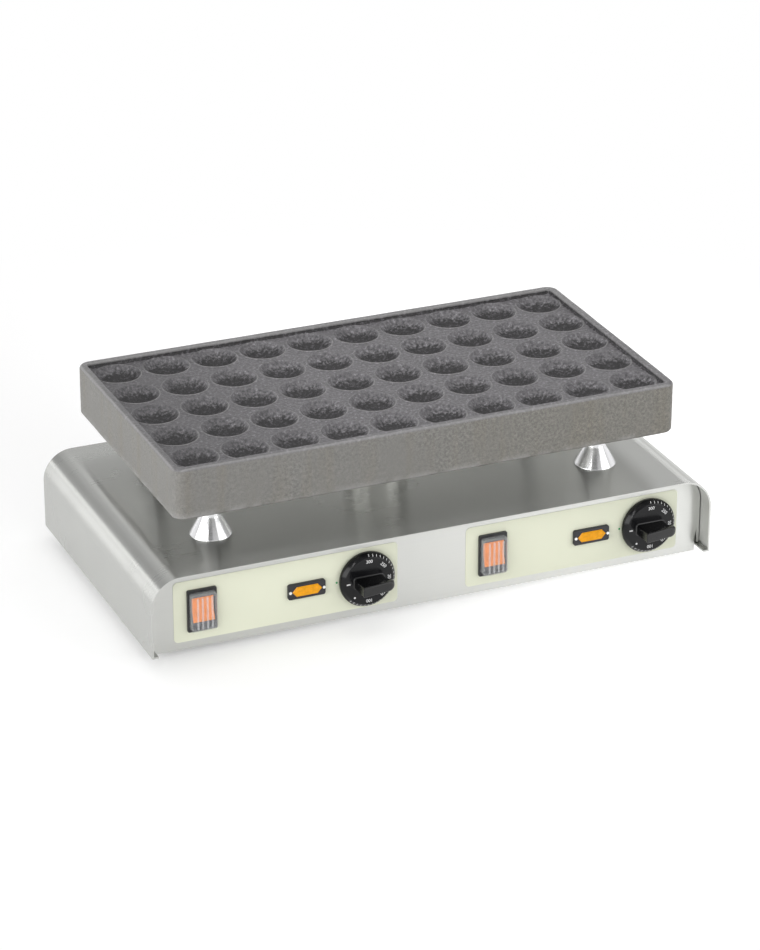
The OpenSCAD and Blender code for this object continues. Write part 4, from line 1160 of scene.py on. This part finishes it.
def add_numeral(shape, text, turn):
    """Plain printed figures whose tops point outwards."""
    curve = bpy.data.curves.new("numeral", "FONT")
    curve.body = text
    curve.size = NUMERAL_SIZE
    curve.align_x = "CENTER"
    curve.align_y = "CENTER"
    curve.extrude = MARK_HEIGHT / 2
    curve.offset = NUMERAL_THICKENING
    writing = link(bpy.data.objects.new("numeral", curve))
    mesh = bpy.data.meshes.new_from_object(writing)
    place = (Matrix.Rotation(radians(-turn), 4, "Z")
             @ Matrix.Translation((0, NUMERAL_RADIUS, DIAL_FACE + MARK_HEIGHT / 2)))
    shape.add([place @ vertex.co for vertex in mesh.vertices],
              [tuple(face.vertices) for face in mesh.polygons])
    bpy.data.objects.remove(writing)
    bpy.data.meshes.remove(mesh)


def add_scale(shape):
    """Ticks and temperatures from the hottest at the top, clockwise down to the coldest."""
    for tick in range(SCALE_TICKS + 1):
        add_mark(shape, SCALE_TURN * tick / SCALE_TICKS, *TICK)
    for value in range(HOTTEST, COLDEST, -NUMERAL_STEP):
        add_numeral(shape, str(value), SCALE_TURN * (HOTTEST - value) / (HOTTEST - COLDEST))
    dot_turn = radians(SCALE_TURN)
    dot = Vector((sin(dot_turn), cos(dot_turn))) * END_DOT_PLACE
    shape.turn([(END_DOT_RADIUS, DIAL_FACE), (END_DOT_RADIUS, DIAL_FACE + MARK_HEIGHT)], 20, dot)
    add_mark(shape, STOP_TURN, *STOP_MARK)


def add_dial(side):
    body = f"{side}_dial"
    node = f"{side}_knob"
    shape = Shape()
    shape.turn(dial_profile(), 96)
    piece(front_object(shape, f"{side}_dial_knob", "knob_plastic", node), body, "knob_plastic", node)
    bar = Shape()
    add_grip(bar)
    piece(front_object(bar, f"{side}_dial_grip", "grip_plastic", node), body, "knob_plastic", node)
    marks = Shape()
    add_scale(marks)
    piece(front_object(marks, f"{side}_dial_scale", "white_print", node), body, "knob_plastic")


def add_index(side):
    """Green dot on the label at the left of each dial."""
    shape = Shape()
    shape.turn([(INDEX_RADIUS, 0.0), (INDEX_RADIUS, MARK_HEIGHT)], 24, INDEX_PLACE)
    piece(front_object(shape, f"{side}_index", "green_print", f"{side}_knob"), "base", "label_film")


# ---- Pilot lamps ----

LAMP_BEZEL = (34 * MM, 14 * MM, 3 * MM)
LAMP_CORNER = 2 * MM
LAMP_EDGE = 0.7 * MM
LAMP_BODY_OUT = 0.5 * MM
LENS_HALF_WIDTH = 13.5 * MM
LENS_HALF_HEIGHT = 4.5 * MM
LENS_POINT = 4 * MM
LENS_PROUD = 1.0 * MM
LENS_SUNK = 0.6 * MM
LENS_STEP = 0.1 * MM
LENS_BEVEL = 0.9 * MM


def lens_outline():
    side = LENS_HALF_WIDTH - LENS_POINT
    return [(LENS_HALF_WIDTH, 0), (side, LENS_HALF_HEIGHT), (-side, LENS_HALF_HEIGHT),
            (-LENS_HALF_WIDTH, 0), (-side, -LENS_HALF_HEIGHT), (side, -LENS_HALF_HEIGHT)]


def add_lamp(side):
    node = f"{side}_lamp_lens"
    width, height, depth = LAMP_BEZEL
    body = Shape()
    body.block(rounded_outline(width, height, LAMP_CORNER), soft_levels(0.0, depth, LAMP_EDGE))
    back = LABEL_FACE_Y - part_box(f"{side}_lamp_body")[1].y
    body.block(rounded_outline(2 * LENS_HALF_WIDTH - MM, 2 * LENS_HALF_HEIGHT + MM, MM),
               [(0.0, back), (0.0, LAMP_BODY_OUT)])
    bezel = front_object(body, f"{side}_lamp_bezel", "lamp_plastic", node)
    piece(bezel, "base", "lamp_plastic", f"{side}_lamp_body")
    glass = Shape()
    glass.block(lens_outline(), [(0.0, depth - LENS_SUNK), (0.0, depth + LENS_STEP),
                                 (LENS_BEVEL, depth + LENS_PROUD)])
    piece(front_object(glass, f"{side}_lamp_glass", "lamp_amber", node, 20), "base", "lamp_amber", node)


# ---- Rocker switches under their splash covers ----

ROCKER_HALF = 13.8 * MM
ROCKER_MIDDLE_OUT = 5.2 * MM
ROCKER_END_OUT = 7.2 * MM
ROCKER_WIDTH = 19.4 * MM
ROCKER_CHEEK_OUT = 4.2 * MM
ROCKER_BACK_OUT = -4.5 * MM
ROCKER_BACK_HALF = 7 * MM
ROCKER_EDGE = 0.5 * MM
ROCKER_REST_TILT = -9
ROCKER_PIVOT = Vector((0, -122.0 * MM, 41 * MM))
WINDOW_WIDTH = 19.2 * MM
WINDOW_FOOT = -10.0 * MM
WINDOW_TOP = 11.4 * MM
WINDOW_PROUD = 0.2 * MM
WINDOW_DEPTH = 1.4 * MM
WINDOW_EDGE = 0.3 * MM
BOOT_RIBS = 4
BOOT_RIB_PITCH = 4.3 * MM
BOOT_RIB_WIDTH = 1.8 * MM
BOOT_RIB_HEIGHT = 0.45 * MM
BOOT_RIB_MARGIN = 2.2 * MM
BOOT_RIB_CORNER = 0.6 * MM
BOOT_RIB_EDGE = 0.3 * MM
BOOT_RIB_SUNK = 0.1 * MM
BOOT_WALL = 0.7 * MM
BOOT_CORNER = 2.5 * MM
BOOT_EDGE = 1.8 * MM
BOOT_INNER_EDGE = 1.2 * MM


def rocker_front(height):
    """How far the rocker's dished face stands out of its pivot, at a height along it."""
    return ROCKER_MIDDLE_OUT + (ROCKER_END_OUT - ROCKER_MIDDLE_OUT) * abs(height) / ROCKER_HALF


def at_pivot(obj, node):
    place = Vector((middle(node).x, ROCKER_PIVOT.y, ROCKER_PIVOT.z))
    obj.matrix_world = Matrix.Translation(place) @ Matrix.Rotation(radians(ROCKER_REST_TILT), 4, "X")
    return obj


def bar_across(shape, side_view, width, round_edge):
    """Solid across X over a clockwise side view of (outwards, up) points, with its edges rounded."""
    outline = [(-out, up) for out, up in side_view]
    curve = arc((round_edge, round_edge), round_edge, 180, 270, 3)
    half = width / 2
    levels = [(inset, offset - half) for inset, offset in reversed(curve)]
    levels += [(inset, half - offset) for inset, offset in curve]
    shape.loft([[(x, y, z) for y, z in inset_outline(outline, inset)] for inset, x in levels])


def add_rocker(side):
    body = f"{side}_rocker_body"
    node = f"{side}_rocker"
    key = Shape()
    side_view = [(rocker_front(0), 0), (rocker_front(ROCKER_HALF), -ROCKER_HALF),
                 (ROCKER_CHEEK_OUT, -ROCKER_HALF), (ROCKER_BACK_OUT, -ROCKER_BACK_HALF),
                 (ROCKER_BACK_OUT, ROCKER_BACK_HALF), (ROCKER_CHEEK_OUT, ROCKER_HALF),
                 (rocker_front(ROCKER_HALF), ROCKER_HALF)]
    bar_across(key, side_view, ROCKER_WIDTH, ROCKER_EDGE)
    rocker = at_pivot(key.object(f"{side}_rocker_key", materials["rocker_plastic"]), node)
    piece(rocker, body, "rocker_plastic", node)
    window = Shape()
    heights = (WINDOW_TOP, 0.0, WINDOW_FOOT)
    face = [(rocker_front(height) + WINDOW_PROUD, height) for height in heights]
    back = [(out - WINDOW_DEPTH, height) for out, height in reversed(face)]
    bar_across(window, back + face, WINDOW_WIDTH, WINDOW_EDGE)
    glow = at_pivot(window.object(f"{side}_rocker_window", materials["rocker_lens_plastic"]), node)
    piece(glow, body, "rocker_lens_plastic", f"{side}_rocker_lens")


def add_boot(side):
    """Clear splash cover with upright ribs on its face."""
    node = f"{side}_boot"
    low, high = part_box(node)
    width, height = high.x - low.x, high.z - low.z
    start, end = LABEL_FACE_Y - high.y, LABEL_FACE_Y - low.y
    shape = Shape()
    outer = rounded_outline(width, height, BOOT_CORNER, 6)
    turned_in = BOOT_WALL + BOOT_INNER_EDGE
    inside = arc((turned_in, end - turned_in), BOOT_INNER_EDGE, 90, 180, 5) + [(BOOT_WALL, start)]
    skins = rings_over(outer, soft_levels(start, end, BOOT_EDGE, 6))
    linings = rings_over(outer, inside)
    shape.loft(skins, cap_start=False)
    shape.loft(linings, cap_start=False, cap_end=False)
    shape.add(linings[0], [tuple(reversed(range(len(linings[0]))))])
    shape.loft([linings[-1], skins[0]], cap_start=False, cap_end=False)
    piece(front_object(shape, f"{side}_splash_cover", "clear_boot", node, 50), "base", "clear_boot", node)
    ribs = Shape()
    for i in range(BOOT_RIBS):
        x = (i - (BOOT_RIBS - 1) / 2) * BOOT_RIB_PITCH
        outline = rounded_outline(BOOT_RIB_WIDTH, height - 2 * BOOT_RIB_MARGIN, BOOT_RIB_CORNER, 4)
        levels = soft_levels(end - BOOT_RIB_SUNK, end + BOOT_RIB_HEIGHT, BOOT_RIB_EDGE, 3)
        ribs.block([(x + u, v) for u, v in outline], levels)
    piece(front_object(ribs, f"{side}_splash_ribs", "boot_rib", node, 50), "base", "clear_boot")


# ---- Assembly ----


def add_controls():
    for side in ("left", "right"):
        add_dial(side)
        add_index(side)
        add_lamp(side)
        add_rocker(side)
        add_boot(side)


add_camera()
light_world()
light_studio()
add_floor()
finish_cad_nodes()
add_plate()
add_posts()
add_panel_ends()
add_controls()

scene = bpy.context.scene
scene.view_settings.view_transform = "Standard"
